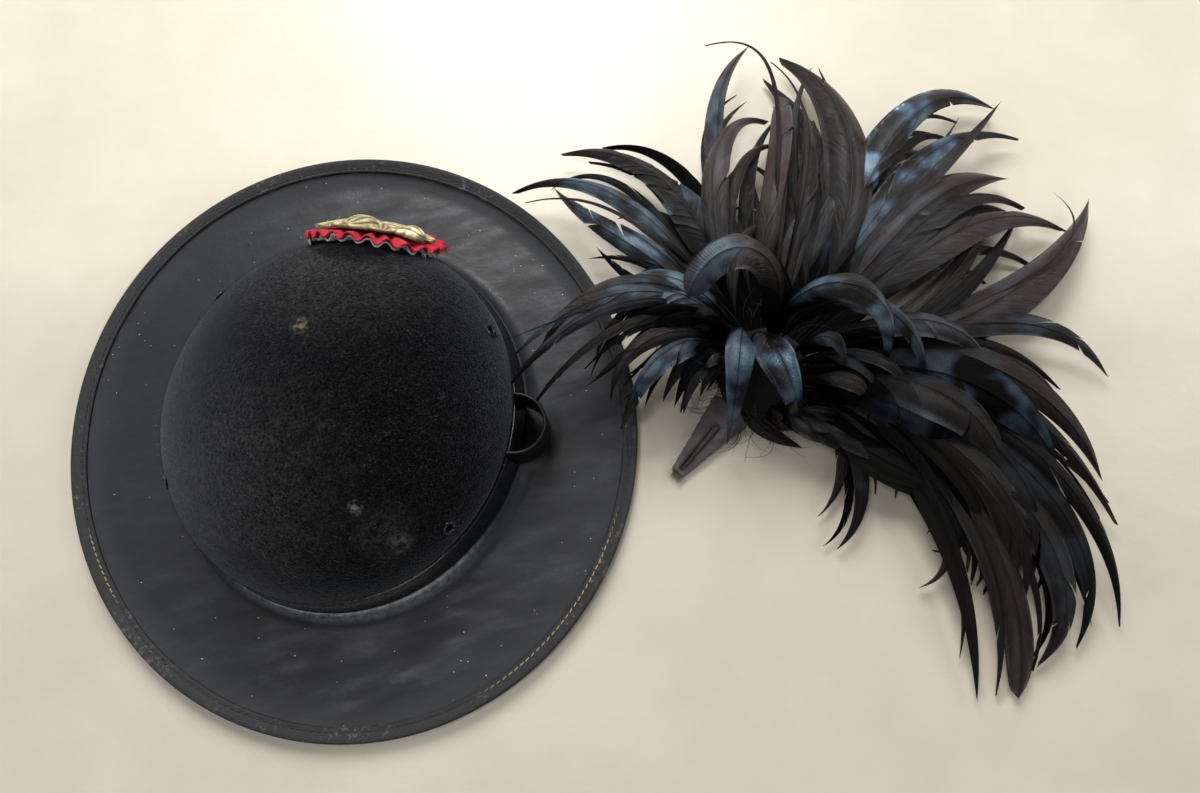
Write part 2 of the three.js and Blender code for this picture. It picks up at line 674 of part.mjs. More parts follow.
const hat = new THREE.Group();
hat.add(makeBrim(), makeBinding(), makeCrown(), makeBand(), ...makeEyelets(), makePocket());
const redBack = -ribbonThickness / 2;
hat.add(pleatedDisc('cockade_red', cockadeRadius, redBack, materials.redRibbon));
hat.add(pleatedDisc('cockade_white', whiteRadius, redBack - ribbonThickness - 2 * gap, materials.whiteRibbon));
hat.add(makeGilt());
hat.rotation.z = radians(hatTurn);

const loosePlume = new THREE.Group();
loosePlume.add(makePlume(), makeStem(), makeHairpin());

// The whole layout stands with the middle of its footprint at the origin
const part = new THREE.Group();
part.add(hat, loosePlume);
part.updateMatrixWorld(true);
const bounds = new THREE.Box3().setFromObject(part, true);
part.position.set(-(bounds.min.x + bounds.max.x) / 2, -(bounds.min.y + bounds.max.y) / 2, -bounds.min.z);
part.updateMatrixWorld(true);

export default part;
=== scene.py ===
# Round felt hat with a wide leather brim, and its cock-feather plume lying beside it
import json
import math
import random

import bmesh
import bpy
import numpy as np
from mathutils import Matrix, Vector

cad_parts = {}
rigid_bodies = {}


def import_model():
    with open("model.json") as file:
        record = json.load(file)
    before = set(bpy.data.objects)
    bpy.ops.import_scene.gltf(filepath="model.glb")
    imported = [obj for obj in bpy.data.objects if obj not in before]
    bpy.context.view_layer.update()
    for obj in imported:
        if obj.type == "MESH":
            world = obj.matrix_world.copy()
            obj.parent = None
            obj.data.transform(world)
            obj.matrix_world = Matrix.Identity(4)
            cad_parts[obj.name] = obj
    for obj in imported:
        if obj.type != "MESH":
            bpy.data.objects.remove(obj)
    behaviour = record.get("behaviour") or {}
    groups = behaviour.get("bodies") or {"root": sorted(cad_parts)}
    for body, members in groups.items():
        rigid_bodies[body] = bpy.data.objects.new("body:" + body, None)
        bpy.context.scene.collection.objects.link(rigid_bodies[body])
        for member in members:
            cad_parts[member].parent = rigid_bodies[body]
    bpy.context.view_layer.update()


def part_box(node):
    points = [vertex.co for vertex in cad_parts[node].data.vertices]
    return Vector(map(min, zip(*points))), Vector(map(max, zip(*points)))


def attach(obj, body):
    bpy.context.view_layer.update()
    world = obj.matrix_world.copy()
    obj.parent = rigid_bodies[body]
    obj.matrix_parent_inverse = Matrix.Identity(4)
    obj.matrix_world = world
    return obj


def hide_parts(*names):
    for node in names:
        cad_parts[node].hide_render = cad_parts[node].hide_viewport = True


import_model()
scene = bpy.context.scene
mm = 0.001

# The hat's middle, its front turned 9 degrees from +Y, and the plume's knot beside it
crownLow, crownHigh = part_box("crown")
hatMiddle = np.array([(crownLow.x + crownHigh.x) / 2, (crownLow.y + crownHigh.y) / 2, 0]) / mm
hatTurn = math.radians(-9)
plumeKnot = hatMiddle + np.array([222, 24, 0])
clearance = 0.3


def placeHat(points):
    c, s = math.cos(hatTurn), math.sin(hatTurn)
    turned = np.array(points, float) @ np.array([[c, s, 0], [-s, c, 0], [0, 0, 1]])
    return turned + hatMiddle


def meshFrom(name, points, faces, uvs=None, marks=None):
    # points in millimetres; uvs one pair a point; marks are point attributes, one number each
    mesh = bpy.data.meshes.new(name)
    mesh.from_pydata((np.asarray(points, float) * mm).tolist(), [], faces)
    mesh.polygons.foreach_set("use_smooth", [True] * len(mesh.polygons))
    if uvs is not None:
        layer = mesh.uv_layers.new(name="along")
        corner = np.empty(len(mesh.loops), np.int32)
        mesh.loops.foreach_get("vertex_index", corner)
        layer.data.foreach_set("uv", np.asarray(uvs, np.float32)[corner].ravel())
    for label, values in (marks or {}).items():
        mesh.attributes.new(label, "FLOAT", "POINT").data.foreach_set("value", np.asarray(values, np.float32))
    mesh.update()
    return mesh


def addObject(name, data):
    added = bpy.data.objects.new(name, data)
    scene.collection.objects.link(added)
    return added


def newPiece(name, mesh, replaced=(), materials=()):
    piece = addObject(name, mesh)
    for material in materials:
        mesh.materials.append(material)
    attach(piece, "root")
    if replaced:
        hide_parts(*replaced)


def circle(count):
    return np.linspace(0, 2 * math.pi, count, endpoint=False)


def gridFaces(rows, columns, aroundRows=False, aroundColumns=False, start=0):
    faces = []
    for i in range(rows if aroundRows else rows - 1):
        for k in range(columns if aroundColumns else columns - 1):
            a, b = start + i * columns, start + (i + 1) % rows * columns
            n = (k + 1) % columns
            faces.append((a + k, a + n, b + n, b + k))
    return faces


def slabFaces(rows, columns, upper, lower, turned=False):
    # Two layers of one grid with a rim between them, from the first point of each
    faces = gridFaces(rows, columns, start=upper) + [face[::-1] for face in gridFaces(rows, columns, start=lower)]
    loop = [*range(columns), *range(2 * columns - 1, rows * columns, columns)]
    loop += [*range(rows * columns - 2, (rows - 1) * columns - 1, -1), *range((rows - 2) * columns, 0, -columns)]
    faces += [(upper + k, upper + n, lower + n, lower + k) for k, n in zip(loop, loop[1:] + loop[:1])]
    return [face[::-1] for face in faces] if turned else faces


def tubeFaces(rows, columns):
    # A row of rings closed by a flat face at both ends
    last = (rows - 1) * columns
    return gridFaces(rows, columns, aroundColumns=True) + [tuple(range(columns)), tuple(range(last, last + columns))]


def domeFaces(rows, columns):
    # A row of rings closed by a fan at both ends; the fans' middles are the two points after the rings
    faces, last, middle = gridFaces(rows, columns, aroundColumns=True), (rows - 1) * columns, rows * columns
    for k, n in zip(range(columns), [*range(1, columns), 0]):
        faces += [(middle, n, k), (middle + 1, last + k, last + n)]
    return faces


def outwards(mesh):
    # Joins doubled points and turns every face outwards
    bm = bmesh.new()
    bm.from_mesh(mesh)
    bmesh.ops.remove_doubles(bm, verts=bm.verts, dist=1e-6)
    bmesh.ops.recalc_face_normals(bm, faces=bm.faces)
    bm.to_mesh(mesh)
    bm.free()
    return mesh


def ringSkin(name, rings, marks=None):
    # A closed ring on the hat, from the sections' courses round it
    rings = np.asarray(rings, float)
    faces = gridFaces(rings.shape[0], rings.shape[1], aroundRows=True, aroundColumns=True)
    return outwards(meshFrom(name, placeHat(rings.reshape(-1, 3)), faces, marks=marks))


def smoothstep(edge0, edge1, x):
    t = np.clip((x - edge0) / (edge1 - edge0), 0, 1)
    return t * t * (3 - 2 * t)


def ripple(angle, seed, waves=(2, 3, 5, 7)):
    # Smooth wandering around the hat, about -1 to 1
    source = random.Random(seed)
    total = sum(np.sin(n * angle + source.uniform(0, 6.28)) / n ** 0.5 for n in waves)
    return total / sum(1 / n ** 0.5 for n in waves)


# Materials
def newMaterial(name, **sockets):
    material = bpy.data.materials.new(name)
    material.use_nodes = True
    shader = material.node_tree.nodes["Principled BSDF"]
    for socket, value in sockets.items():
        shader.inputs[socket.replace("_", " ")].default_value = value
    return material


def addNode(material, kind, links=None, **values):
    # values named after a property set it, others set the input of that name
    node = material.node_tree.nodes.new(kind)
    for key, value in values.items():
        if hasattr(node, key):
            setattr(node, key, value)
        else:
            node.inputs[key.replace("_", " ")].default_value = value
    for key, source in (links or {}).items():
        material.node_tree.links.new(source, node.inputs[key])
    return node


def wire(material, source, socket):
    material.node_tree.links.new(source, material.node_tree.nodes["Principled BSDF"].inputs[socket])


def objectCoords(material, scale=(1, 1, 1), centre=(0, 0, 0), turn=0):
    coords = addNode(material, "ShaderNodeTexCoord")
    mapping = addNode(material, "ShaderNodeMapping", {"Vector": coords.outputs["Object"]})
    mapping.vector_type = "TEXTURE"
    mapping.inputs["Location"].default_value = [x * mm for x in centre]
    mapping.inputs["Rotation"].default_value = (0, 0, turn)
    mapping.inputs["Scale"].default_value = scale
    return mapping.outputs["Vector"]


def noiseOf(material, vector, size, detail=4, roughness=0.55, distortion=0):
    # size is the width of one lump in millimetres
    node = addNode(material, "ShaderNodeTexNoise", {"Vector": vector}, Scale=1 / (size * mm), Detail=detail,
                   Roughness=roughness, Distortion=distortion)
    return node.outputs["Fac"]


def rampOf(material, source, stops):
    node = addNode(material, "ShaderNodeValToRGB", {"Fac": source})
    ramp = node.color_ramp
    while len(ramp.elements) < len(stops):
        ramp.elements.new(0.5)
    for element, (place, colour) in zip(ramp.elements, stops):
        element.position = place
        element.color = (*colour, 1) if len(colour) == 3 else colour
    return node.outputs["Color"]


def spanOf(material, source, low, high, toLow=0.0, toHigh=1.0):
    node = addNode(material, "ShaderNodeMapRange", {"Value": source})
    for key, value in zip(("From Min", "From Max", "To Min", "To Max"), (low, high, toLow, toHigh)):
        node.inputs[key].default_value = value
    return node.outputs["Result"]


def mathOf(material, operation, a, b=None):
    node = addNode(material, "ShaderNodeMath", operation=operation)
    for socket, value in zip(node.inputs, (a, b)):
        if isinstance(value, (int, float)):
            socket.default_value = value
        elif value is not None:
            material.node_tree.links.new(value, socket)
    return node.outputs["Value"]


def times(material, a, b):
    return mathOf(material, "MULTIPLY", a, b)


def plus(material, a, b):
    return mathOf(material, "ADD", a, b)


def larger(material, a, b):
    return mathOf(material, "MAXIMUM", a, b)


def markOf(material, name):
    # A point attribute of the mesh
    return addNode(material, "ShaderNodeAttribute", attribute_name=name).outputs["Fac"]


def mixOf(material, share, a, b):
    node = addNode(material, "ShaderNodeMix", data_type="RGBA")
    for socket, value in ((node.inputs["Factor"], share), (node.inputs[6], a), (node.inputs[7], b)):
        if isinstance(value, (int, float)):
            socket.default_value = value
        elif isinstance(value, tuple):
            socket.default_value = (*value, 1)
        else:
            material.node_tree.links.new(value, socket)
    return node.outputs[2]


def bumpOf(material, height, depth, strength=1.0, under=None):
    links = {"Height": height}
    if under is not None:
        links["Normal"] = under
    node = addNode(material, "ShaderNodeBump", links, Strength=strength, Distance=depth * mm)
    return node.outputs["Normal"]


def spotOf(material, centre, radius, softness=0.5):
    # 1 inside a round spot on the hat, falling to 0 at its rim
    place = placeHat([centre])[0]
    vector = objectCoords(material, centre=place)
    length = addNode(material, "ShaderNodeVectorMath", {0: vector}, operation="LENGTH")
    return spanOf(material, length.outputs["Value"], radius * mm, radius * softness * mm)


# Geometry Nodes: a tree with named inputs, run on a mesh and kept as a plain mesh
def newTree(name, **inputs):
    tree = bpy.data.node_groups.new(name, "GeometryNodeTree")
    tree.interface.new_socket("Geometry", in_out="INPUT", socket_type="NodeSocketGeometry")
    for label, value in inputs.items():
        kind = "NodeSocketInt" if isinstance(value, int) else "NodeSocketFloat"
        tree.interface.new_socket(label, in_out="INPUT", socket_type=kind).default_value = value
    tree.interface.new_socket("Geometry", in_out="OUTPUT", socket_type="NodeSocketGeometry")
    return tree, tree.nodes.new("NodeGroupInput").outputs


def treeNode(tree, kind, links=None, **values):
    node = tree.nodes.new(kind)
    for key, value in values.items():
        setattr(node, key, value)
    for key, source in (links or {}).items():
        socket = node.inputs[key]
        if hasattr(source, "is_output"):
            tree.links.new(source, socket)
        else:
            socket.default_value = source
    return node


def treeMath(tree, operation, a, b):
    return treeNode(tree, "ShaderNodeMath", {0: a, 1: b}, operation=operation).outputs[0]


def treeVector(tree, x, y, z):
    return treeNode(tree, "ShaderNodeCombineXYZ", {"X": x, "Y": y, "Z": z}).outputs[0]


def between(tree, seed, low, high):
    # A random number or vector for each point
    vector = isinstance(low, tuple)
    node = treeNode(tree, "FunctionNodeRandomValue", {"Seed": seed}, data_type="FLOAT_VECTOR" if vector else "FLOAT")
    first = 0 if vector else 2
    node.inputs[first].default_value, node.inputs[first + 1].default_value = low, high
    return node.outputs[0 if vector else 1]


def aimAlong(tree, direction, spin, space):
    # Turns a copy's Z to the direction, and the copy about Z by the spin
    aim = treeNode(tree, "FunctionNodeAlignRotationToVector", {"Vector": direction}, axis="Z")
    spun = treeNode(tree, "FunctionNodeAxisAngleToRotation", {"Axis": (0, 0, 1), "Angle": spin})
    both = treeNode(tree, "FunctionNodeRotateRotation", {"Rotation": aim.outputs[0], "Rotate By": spun.outputs[0]},
                    rotation_space=space)
    return both.outputs[0]


def closeTree(tree, points, instance, rotation, **scale):
    copies = treeNode(tree, "GeometryNodeInstanceOnPoints", {
        "Points": points, "Instance": instance, "Rotation": rotation, **scale})
    real = treeNode(tree, "GeometryNodeRealizeInstances", {"Geometry": copies.outputs["Instances"]})
    finish = treeNode(tree, "GeometryNodeSetMaterial", {"Geometry": real.outputs["Geometry"]})
    tree.links.new(finish.outputs["Geometry"], tree.nodes.new("NodeGroupOutput").inputs["Geometry"])
    return tree


def runTree(name, carrier, tree, values, material):
    holder = addObject(name + "Carrier", carrier)
    modifier = holder.modifiers.new("grow", "NODES")
    modifier.node_group = tree
    for item in tree.interface.items_tree:
        if item.in_out == "INPUT" and item.name in values:
            modifier[item.identifier] = values[item.name]
    graph = bpy.context.evaluated_depsgraph_get()
    grown = bpy.data.meshes.new_from_object(holder.evaluated_get(graph), depsgraph=graph)
    holder.modifiers.remove(modifier)
    bpy.data.objects.remove(holder)
    grown.name = name
    places = np.empty(len(grown.vertices) * 3, np.float32)
    grown.vertices.foreach_get("co", places)
    places[2::3] = np.maximum(places[2::3], 0.3 * mm)  # nothing goes into the floor
    grown.vertices.foreach_set("co", places)
    grown.materials.clear()
    grown.materials.append(material)
    newPiece(name, grown)


def strandTree(name):
    # Bent tapering hairs scattered over a surface, thicker where the mesh's own share says so
    tree, given = newTree(name, Density=1000.0, Length=0.002, Width=0.0001, Bend=0.3, Lean=1.0, Steps=2, Seed=1)
    share = treeNode(tree, "GeometryNodeInputNamedAttribute", {"Name": "share"}, data_type="FLOAT")
    scatter = treeNode(tree, "GeometryNodeDistributePointsOnFaces", {
        "Mesh": given["Geometry"], "Seed": given["Seed"],
        "Density": treeMath(tree, "MULTIPLY", given["Density"], share.outputs["Attribute"])})
    curve = treeNode(tree, "GeometryNodeCurveQuadraticBezier", {
        "Resolution": given["Steps"], "Start": (0, 0, 0), "Middle": treeVector(tree, given["Bend"], 0, 0.5),
        "End": (0, 0, 1)})
    place = treeNode(tree, "GeometryNodeSplineParameter")
    taper = treeNode(tree, "ShaderNodeMapRange", {"Value": place.outputs["Factor"], "To Min": 1.0, "To Max": 0.25})
    wide = treeMath(tree, "DIVIDE", given["Width"], given["Length"])
    profile = treeNode(tree, "GeometryNodeCurvePrimitiveCircle", {"Resolution": 3, "Radius": 1.0})
    hair = treeNode(tree, "GeometryNodeCurveToMesh", {
        "Curve": curve.outputs["Curve"], "Profile Curve": profile.outputs["Curve"], "Fill Caps": True,
        "Scale": treeMath(tree, "MULTIPLY", wide, taper.outputs["Result"])})
    lean = between(tree, given["Seed"], (-1, -1, -1), (1, 1, 1))
    tilted = treeNode(tree, "ShaderNodeVectorMath", {0: lean, "Scale": given["Lean"]}, operation="SCALE")
    grown = treeNode(tree, "ShaderNodeVectorMath", {0: scatter.outputs["Normal"], 1: tilted.outputs[0]}, operation="ADD")
    turned = aimAlong(tree, grown.outputs[0], between(tree, given["Seed"], 0.0, 6.283), "LOCAL")
    long = treeMath(tree, "MULTIPLY", between(tree, given["Seed"], 0.45, 1.0), given["Length"])
    even = treeVector(tree, long, long, long)
    return closeTree(tree, scatter.outputs["Points"], hair.outputs["Mesh"], turned, Scale=even)


def beadTree(name):
    # Small beads lengthwise along a path: stitches
    tree, given = newTree(name, Spacing=0.0034, Length=0.0026, Width=0.0008, Slant=0.1, Seed=1)
    path = treeNode(tree, "GeometryNodeMeshToCurve", {"Mesh": given["Geometry"]})
    points = treeNode(tree, "GeometryNodeCurveToPoints", {
        "Curve": path.outputs["Curve"], "Length": given["Spacing"]}, mode="LENGTH")
    bead = treeNode(tree, "GeometryNodeMeshUVSphere", {"Segments": 6, "Rings": 4, "Radius": 0.5})
    sized = treeNode(tree, "GeometryNodeTransform", {
        "Geometry": bead.outputs["Mesh"], "Scale": treeVector(tree, given["Width"], given["Width"], given["Length"])})
    tilt = treeMath(tree, "ADD", between(tree, given["Seed"], -0.12, 0.12), given["Slant"])
    turned = aimAlong(tree, points.outputs["Tangent"], tilt, "GLOBAL")
    return closeTree(tree, points.outputs["Points"], sized.outputs["Geometry"], turned)


def speckTree(name):
    # Flat specks scattered over a surface
    tree, given = newTree(name, Density=500.0, Size=0.0006, Seed=1)
    scatter = treeNode(tree, "GeometryNodeDistributePointsOnFaces", {
        "Mesh": given["Geometry"], "Density": given["Density"], "Seed": given["Seed"]})
    speck = treeNode(tree, "GeometryNodeMeshIcoSphere", {"Radius": 0.5, "Subdivisions": 1})
    size = between(tree, given["Seed"], (0.3, 0.3, 0.2), (1.3, 1.0, 0.4))
    scaled = treeNode(tree, "ShaderNodeVectorMath", {0: size, "Scale": given["Size"]}, operation="SCALE")
    return closeTree(tree, scatter.outputs["Points"], speck.outputs["Mesh"], scatter.outputs["Rotation"],
                     Scale=scaled.outputs[0])


# Sizes of the hat that several pieces share
hat = {
    "crownHalfWidth": 93.3, "crownHalfDepth": 100.4, "crownHeight": 78, "felt": 3, "breakRise": 6,
    "bandFoot": 9.3, "bandHeight": 17.5, "bandThickness": 1.6, "bandLean": 4.1, "swell": 1.4, "fullness": 1.95,
}
bandTop = hat["bandFoot"] + hat["bandHeight"]
domeFoot = bandTop + clearance


def ovalReach(halfWidth, halfDepth, angle):
    return 1 / np.hypot(np.cos(angle) / halfWidth, np.sin(angle) / halfDepth)


def crownReach(angle, height, offset=0.0):
    angle, height = np.broadcast_arrays(np.asarray(angle, float), np.asarray(height, float))
    wide, deep = hat["crownHalfWidth"] + offset, hat["crownHalfDepth"] + offset
    low = hat["bandLean"] * np.clip((height - hat["breakRise"]) / (bandTop - hat["breakRise"]), 0, 1)
    full = hat["bandLean"] - hat["swell"] * smoothstep(bandTop, bandTop + 3.5, height)
    drawn = np.where(height <= bandTop, low, full)
    rise = np.clip((height - domeFoot) / (hat["crownHeight"] + offset - domeFoot), 0, 1)
    shrink = np.sqrt(np.clip(1 - rise ** hat["fullness"], 0, 1))
    return ovalReach((wide - drawn) * shrink + 1e-6, (deep - drawn) * shrink + 1e-6, angle)


def onRay(angle, reach, height):
    return np.stack(np.broadcast_arrays(reach * np.cos(angle), reach * np.sin(angle), height), -1)


# Brim
brim = {
    "longReach": 163.6, "shortReach": 153.9, "turn": -59, "shift": 1.7, "shiftTurn": 236, "thickness": 3,
    "edgeLift": 4, "breakEnds": 0.18, "liftStarts": 0.7, "around": 256, "steps": 36, "wave": 0.35,
    # The pale crescent along the brim's break at the front is a painted highlight
    "breakHighlightTurn": 280, "paintedBreakHighlight": ((1.4, 0.004, 0.014), (0.32, 0.045, 0.04)),  # strength, share of the brim, spread
    "paintedShadeSpot": (101, 4, 9), "paintedShadeRadius": 25,
}


def brimEdge(angle):
    shift = brim["shift"] * np.cos(angle - math.radians(brim["shiftTurn"]))
    return ovalReach(brim["longReach"], brim["shortReach"], angle - math.radians(brim["turn"])) + shift


def brimHole(angle):
    return ovalReach(hat["crownHalfWidth"], hat["crownHalfDepth"], angle) + clearance


def brimUnder(share):
    rise = hat["breakRise"] * np.clip(1 - share / brim["breakEnds"], 0, 1) ** 2.2
    return rise + brim["edgeLift"] * np.clip((share - brim["liftStarts"]) / (1 - brim["liftStarts"]), 0, 1) ** 1.6


def brimPoint(angle, share, above):
    angle, share = np.broadcast_arrays(np.asarray(angle, float), np.asarray(share, float))
    wave = brim["wave"] * ripple(angle, 4) * smoothstep(0.1, 0.4, share) * (1 - smoothstep(0.85, 1, share))
    reach = brimHole(angle) + share * (brimEdge(angle) - brimHole(angle))
    return onRay(angle, reach, brimUnder(share) + above + (wave if np.all(np.asarray(above) > 0) else 0))


leather = newMaterial("brimLeather", Specular_IOR_Level=0.34)
where = objectCoords(leather, centre=hatMiddle)
drawnOut = objectCoords(leather, scale=(1.5, 0.42, 1), centre=hatMiddle, turn=math.radians(14))
smearsAndSheen = noiseOf(leather, drawnOut, 24, 5, 0.6)
cloudy = noiseOf(leather, where, 60, 5)
scuffed = noiseOf(leather, where, 3.2, 8, 0.74)
creases = noiseOf(leather, where, 1.6, 6, 0.7, 0.4)
# Painted highlight: a pale crescent along the brim's break, broken up by the scuffs
paintedBreakHighlight = times(leather, markOf(leather, "paintedBreakHighlight"), spanOf(leather, scuffed, 0.3, 0.62))
tint = rampOf(leather, cloudy, [
    (0.3, (0.0045, 0.0055, 0.009)), (0.52, (0.007, 0.0085, 0.013)), (0.75, (0.011, 0.0135, 0.02))])
# Long streaks lighten the leather, partly smears and partly painted sheen; they are glossier too
tint = mixOf(leather, spanOf(leather, smearsAndSheen, 0.5, 0.72, 0, 0.55), tint, (0.022, 0.026, 0.038))
tint = mixOf(leather, spanOf(leather, scuffed, 0.6, 0.76, 0, 0.3), tint, (0.045, 0.047, 0.052))
tint = mixOf(leather, paintedBreakHighlight, tint, (0.42, 0.44, 0.48))
# Painted shade: the brim turns nearly black and dull round the plume pocket
shaded = spotOf(leather, brim["paintedShadeSpot"], brim["paintedShadeRadius"], 0.3)
wire(leather, mixOf(leather, shaded, tint, (0.0005, 0.0005, 0.0006)), "Base Color")
gloss = plus(leather, spanOf(leather, smearsAndSheen, 0.35, 0.65, 0.56, 0.32), times(leather, creases, 0.1))
wire(leather, larger(leather, gloss, shaded), "Roughness")
lumpy = bumpOf(leather, noiseOf(leather, where, 14, 3), 0.5, 0.6)
wire(leather, bumpOf(leather, creases, 0.16, 0.7, lumpy), "Normal")

angles = circle(brim["around"])
across = np.linspace(0, 1, brim["steps"]) ** 0.9
upper = [brimPoint(angles, s, brim["thickness"]) for s in across]
lower = [brimPoint(angles, s, 0.0) for s in across[::-1]]
# The painted highlight's share round the brim and across it
front = smoothstep(1.05, 0.35, np.abs(angles - math.radians(brim["breakHighlightTurn"])))
breakHighlightShares = [front * sum(most * math.exp(-((s - at) / spread) ** 2) for most, at, spread in brim["paintedBreakHighlight"]) for s in across]
breakHighlightShares += [0 * angles] * len(across)
brimMesh = ringSkin("brimSkin", upper + lower, {"paintedBreakHighlight": np.concatenate(breakHighlightShares)})
newPiece("brim_leather", brimMesh, ["brim"], [leather])
print("brim")

# Binding: a folded strip round the edge, with two rows of stitches and a groove under them
binding = {"width": 7.3, "thickness": 1, "stitchIn": 5.0, "groove": 0.35, "around": 384, "wander": 0.25, "bend": 2.2}
strip = newMaterial("bindingLeather", Roughness=0.6, Specular_IOR_Level=0.4)
where = objectCoords(strip, centre=hatMiddle)
rough = noiseOf(strip, where, 3.5, 8, 0.75)
patchy = noiseOf(strip, where, 40, 3)
scuffs = spanOf(strip, plus(strip, rough, times(strip, patchy, 0.5)), 0.82, 0.95)
base = rampOf(strip, rough, [(0.3, (0.0035, 0.004, 0.0055)), (0.7, (0.012, 0.013, 0.017))])
wire(strip, mixOf(strip, times(strip, scuffs, 0.75), base, (0.12, 0.112, 0.1)), "Base Color")
wire(strip, spanOf(strip, rough, 0.2, 0.8, 0.45, 0.75), "Roughness")
wire(strip, bumpOf(strip, rough, 0.7, 0.9), "Normal")


def bindingProfile(angle):
    # Points of the strip's section, as distance in from the brim's edge and height over its underside
    over, fold, seam = brim["thickness"] + clearance, clearance + binding["thickness"], binding["stitchIn"]
    top, low = over + binding["thickness"], -fold
    wander = binding["wander"] * ripple(angle, 9, (11, 17, 29, 41))
    outer = []
    for inwards in (binding["width"] + wander, seam + 1, seam, seam - 1, binding["bend"]):
        outer.append((inwards, top - binding["groove"] * math.exp(-((float(np.mean(inwards)) - seam) / 0.8) ** 2)))
    for turn in np.linspace(math.pi / 2, -math.pi / 2, 9):
        outer.append((-(fold - 0.1) * math.cos(turn) + 0.4, (top + low) / 2 + (top - low) / 2 * math.sin(turn)))
    outer += [(inwards, low) for inwards in (binding["bend"], seam - 1, seam, seam + 1, binding["width"] - wander)]
    inner = [(binding["width"], -clearance), (0.2, -clearance), (-0.25, brim["thickness"] / 2)]
    return outer + inner + [(0.2, over), (binding["width"], over)]


angles = circle(binding["around"])
depth = brimEdge(angles) - brimHole(angles)
rows = []
for inwards, above in bindingProfile(angles):
    point = brimPoint(angles, np.clip(1 - np.maximum(inwards, 0) / depth, 0, 1), 0.0)
    out = np.maximum(-np.asarray(inwards, float), 0) + 0 * angles
    rows.append(point + onRay(angles, out, above + 0 * angles))
newPiece("binding_leather", ringSkin("bindingSkin", rows), ["brim_binding"], [strip])

thread = newMaterial("bindingThread", Roughness=0.8)
rub = noiseOf(thread, objectCoords(thread, centre=hatMiddle), 22, 3)
wearAndPaintedHighlight = larger(thread, spotOf(thread, (150, -88, 5), 85, 0.45), spotOf(thread, (-118, -100, 5), 32, 0.4))
pale = spanOf(thread, times(thread, larger(thread, wearAndPaintedHighlight, 0.12), plus(thread, rub, 0.35)), 0.35, 0.75)
wire(thread, mixOf(thread, pale, (0.016, 0.016, 0.019), (0.3, 0.24, 0.15)), "Base Color")
stitch = {"Spacing": 0.0036, "Length": 0.0029, "Width": 0.00075, "Slant": 0.12}
stitches = beadTree("stitches")
skinTop, skinLow = brim["thickness"] + clearance + binding["thickness"], -clearance - binding["thickness"]
for name, above in (("upper", skinTop - 0.15), ("lower", skinLow + 0.1)):
    path = placeHat(brimPoint(angles, 1 - binding["stitchIn"] / depth, 0.0) + np.array([0, 0, above]))
    track = bpy.data.meshes.new("track")
    track.from_pydata((path * mm).tolist(), [(k, (k + 1) % len(path)) for k in range(len(path))], [])
    runTree("stitches_" + name, track, stitches, stitch, thread)
print("binding")

# Crown: a felt shell with soft dents, fuzz and lint
crown = {
    "around": 220, "rings": 56, "innerRings": 48, "dents": 0.9, "waves": 0.5, "fuzz": 0.42e6, "lint": 7800,
    # The two broad dust spots are painted light, the small one is dust
    "dust": [((-8, 78, 58), 66, 0.25, 1.0), ((46, -60, 56), 19, 0.15, 1.0), ((-25, -55, 66), 72, 0.35, 0.6)],
    "stains": [((-10.6, 29.5, 75.1), 5.5, (0.16, 0.125, 0.09)), ((33, -51, 65.8), 4.5, (0.14, 0.13, 0.12)),
               ((53, -63, 51), 7, (0.1, 0.098, 0.095))],
}
felt = newMaterial("felt", Roughness=1.0, Specular_IOR_Level=0.05, Sheen_Weight=0.26, Sheen_Roughness=0.3,
                   Sheen_Tint=(0.78, 0.84, 1.0, 1))
where = objectCoords(felt, centre=hatMiddle)
fibres = noiseOf(felt, where, 1.1, 6, 0.7, 1.2)
matted = noiseOf(felt, where, 7, 5, 0.65)
shade = rampOf(felt, plus(felt, times(felt, fibres, 0.86), times(felt, matted, 0.14)), [
    (0.4, (0.0003, 0.0003, 0.0004)), (0.5, (0.0016, 0.0016, 0.0019)), (0.58, (0.01, 0.01, 0.0115)),
    (0.66, (0.034, 0.034, 0.037))])
motes = times(felt, spanOf(felt, noiseOf(felt, where, 1.8, 6, 0.75), 0.42, 0.68), spanOf(felt, matted, 0.3, 0.6, 0.35, 1))
# Dust and painted light: the two broad spots lighten the felt as light falling on it would, the small one is dust; the
# motes thin them all
dustAndPaintedLight = 0.0
for centre, radius, softness, strength in crown["dust"]:
    dustAndPaintedLight = larger(felt, times(felt, spotOf(felt, centre, radius, softness), strength), dustAndPaintedLight)
shade = mixOf(felt, times(felt, times(felt, dustAndPaintedLight, motes), 0.55), shade, (0.1, 0.097, 0.09))
for centre, radius, colour in crown["stains"]:
    ragged = times(felt, spotOf(felt, centre, radius, 0.15), spanOf(felt, noiseOf(felt, where, 2.6, 4), 0.42, 0.62))
    shade = mixOf(felt, ragged, shade, colour)
wire(felt, shade, "Base Color")
wire(felt, bumpOf(felt, fibres, 0.9, 0.9, bumpOf(felt, matted, 0.6, 0.4)), "Normal")

angles = circle(crown["around"])


def crownRows(offset, count):
    low = [onRay(angles, crownReach(angles, z, offset), z) for z in (hat["breakRise"], 12, 18, 23, bandTop)]
    high = []
    for turn in np.linspace(0, math.pi / 2, count + 1)[1:-1]:
        z = domeFoot + (hat["crownHeight"] + offset - domeFoot) * math.sin(turn)
        dent = crown["dents"] * ripple(angles, 21) * math.sin(turn) * math.cos(turn) * 2
        dent = dent + crown["waves"] * ripple(angles, 22, (6, 9, 13)) * smoothstep(0.25, 0.7, turn) * math.cos(turn)
        high.append(onRay(angles, crownReach(angles, z, offset) + dent, z))
    return low + high


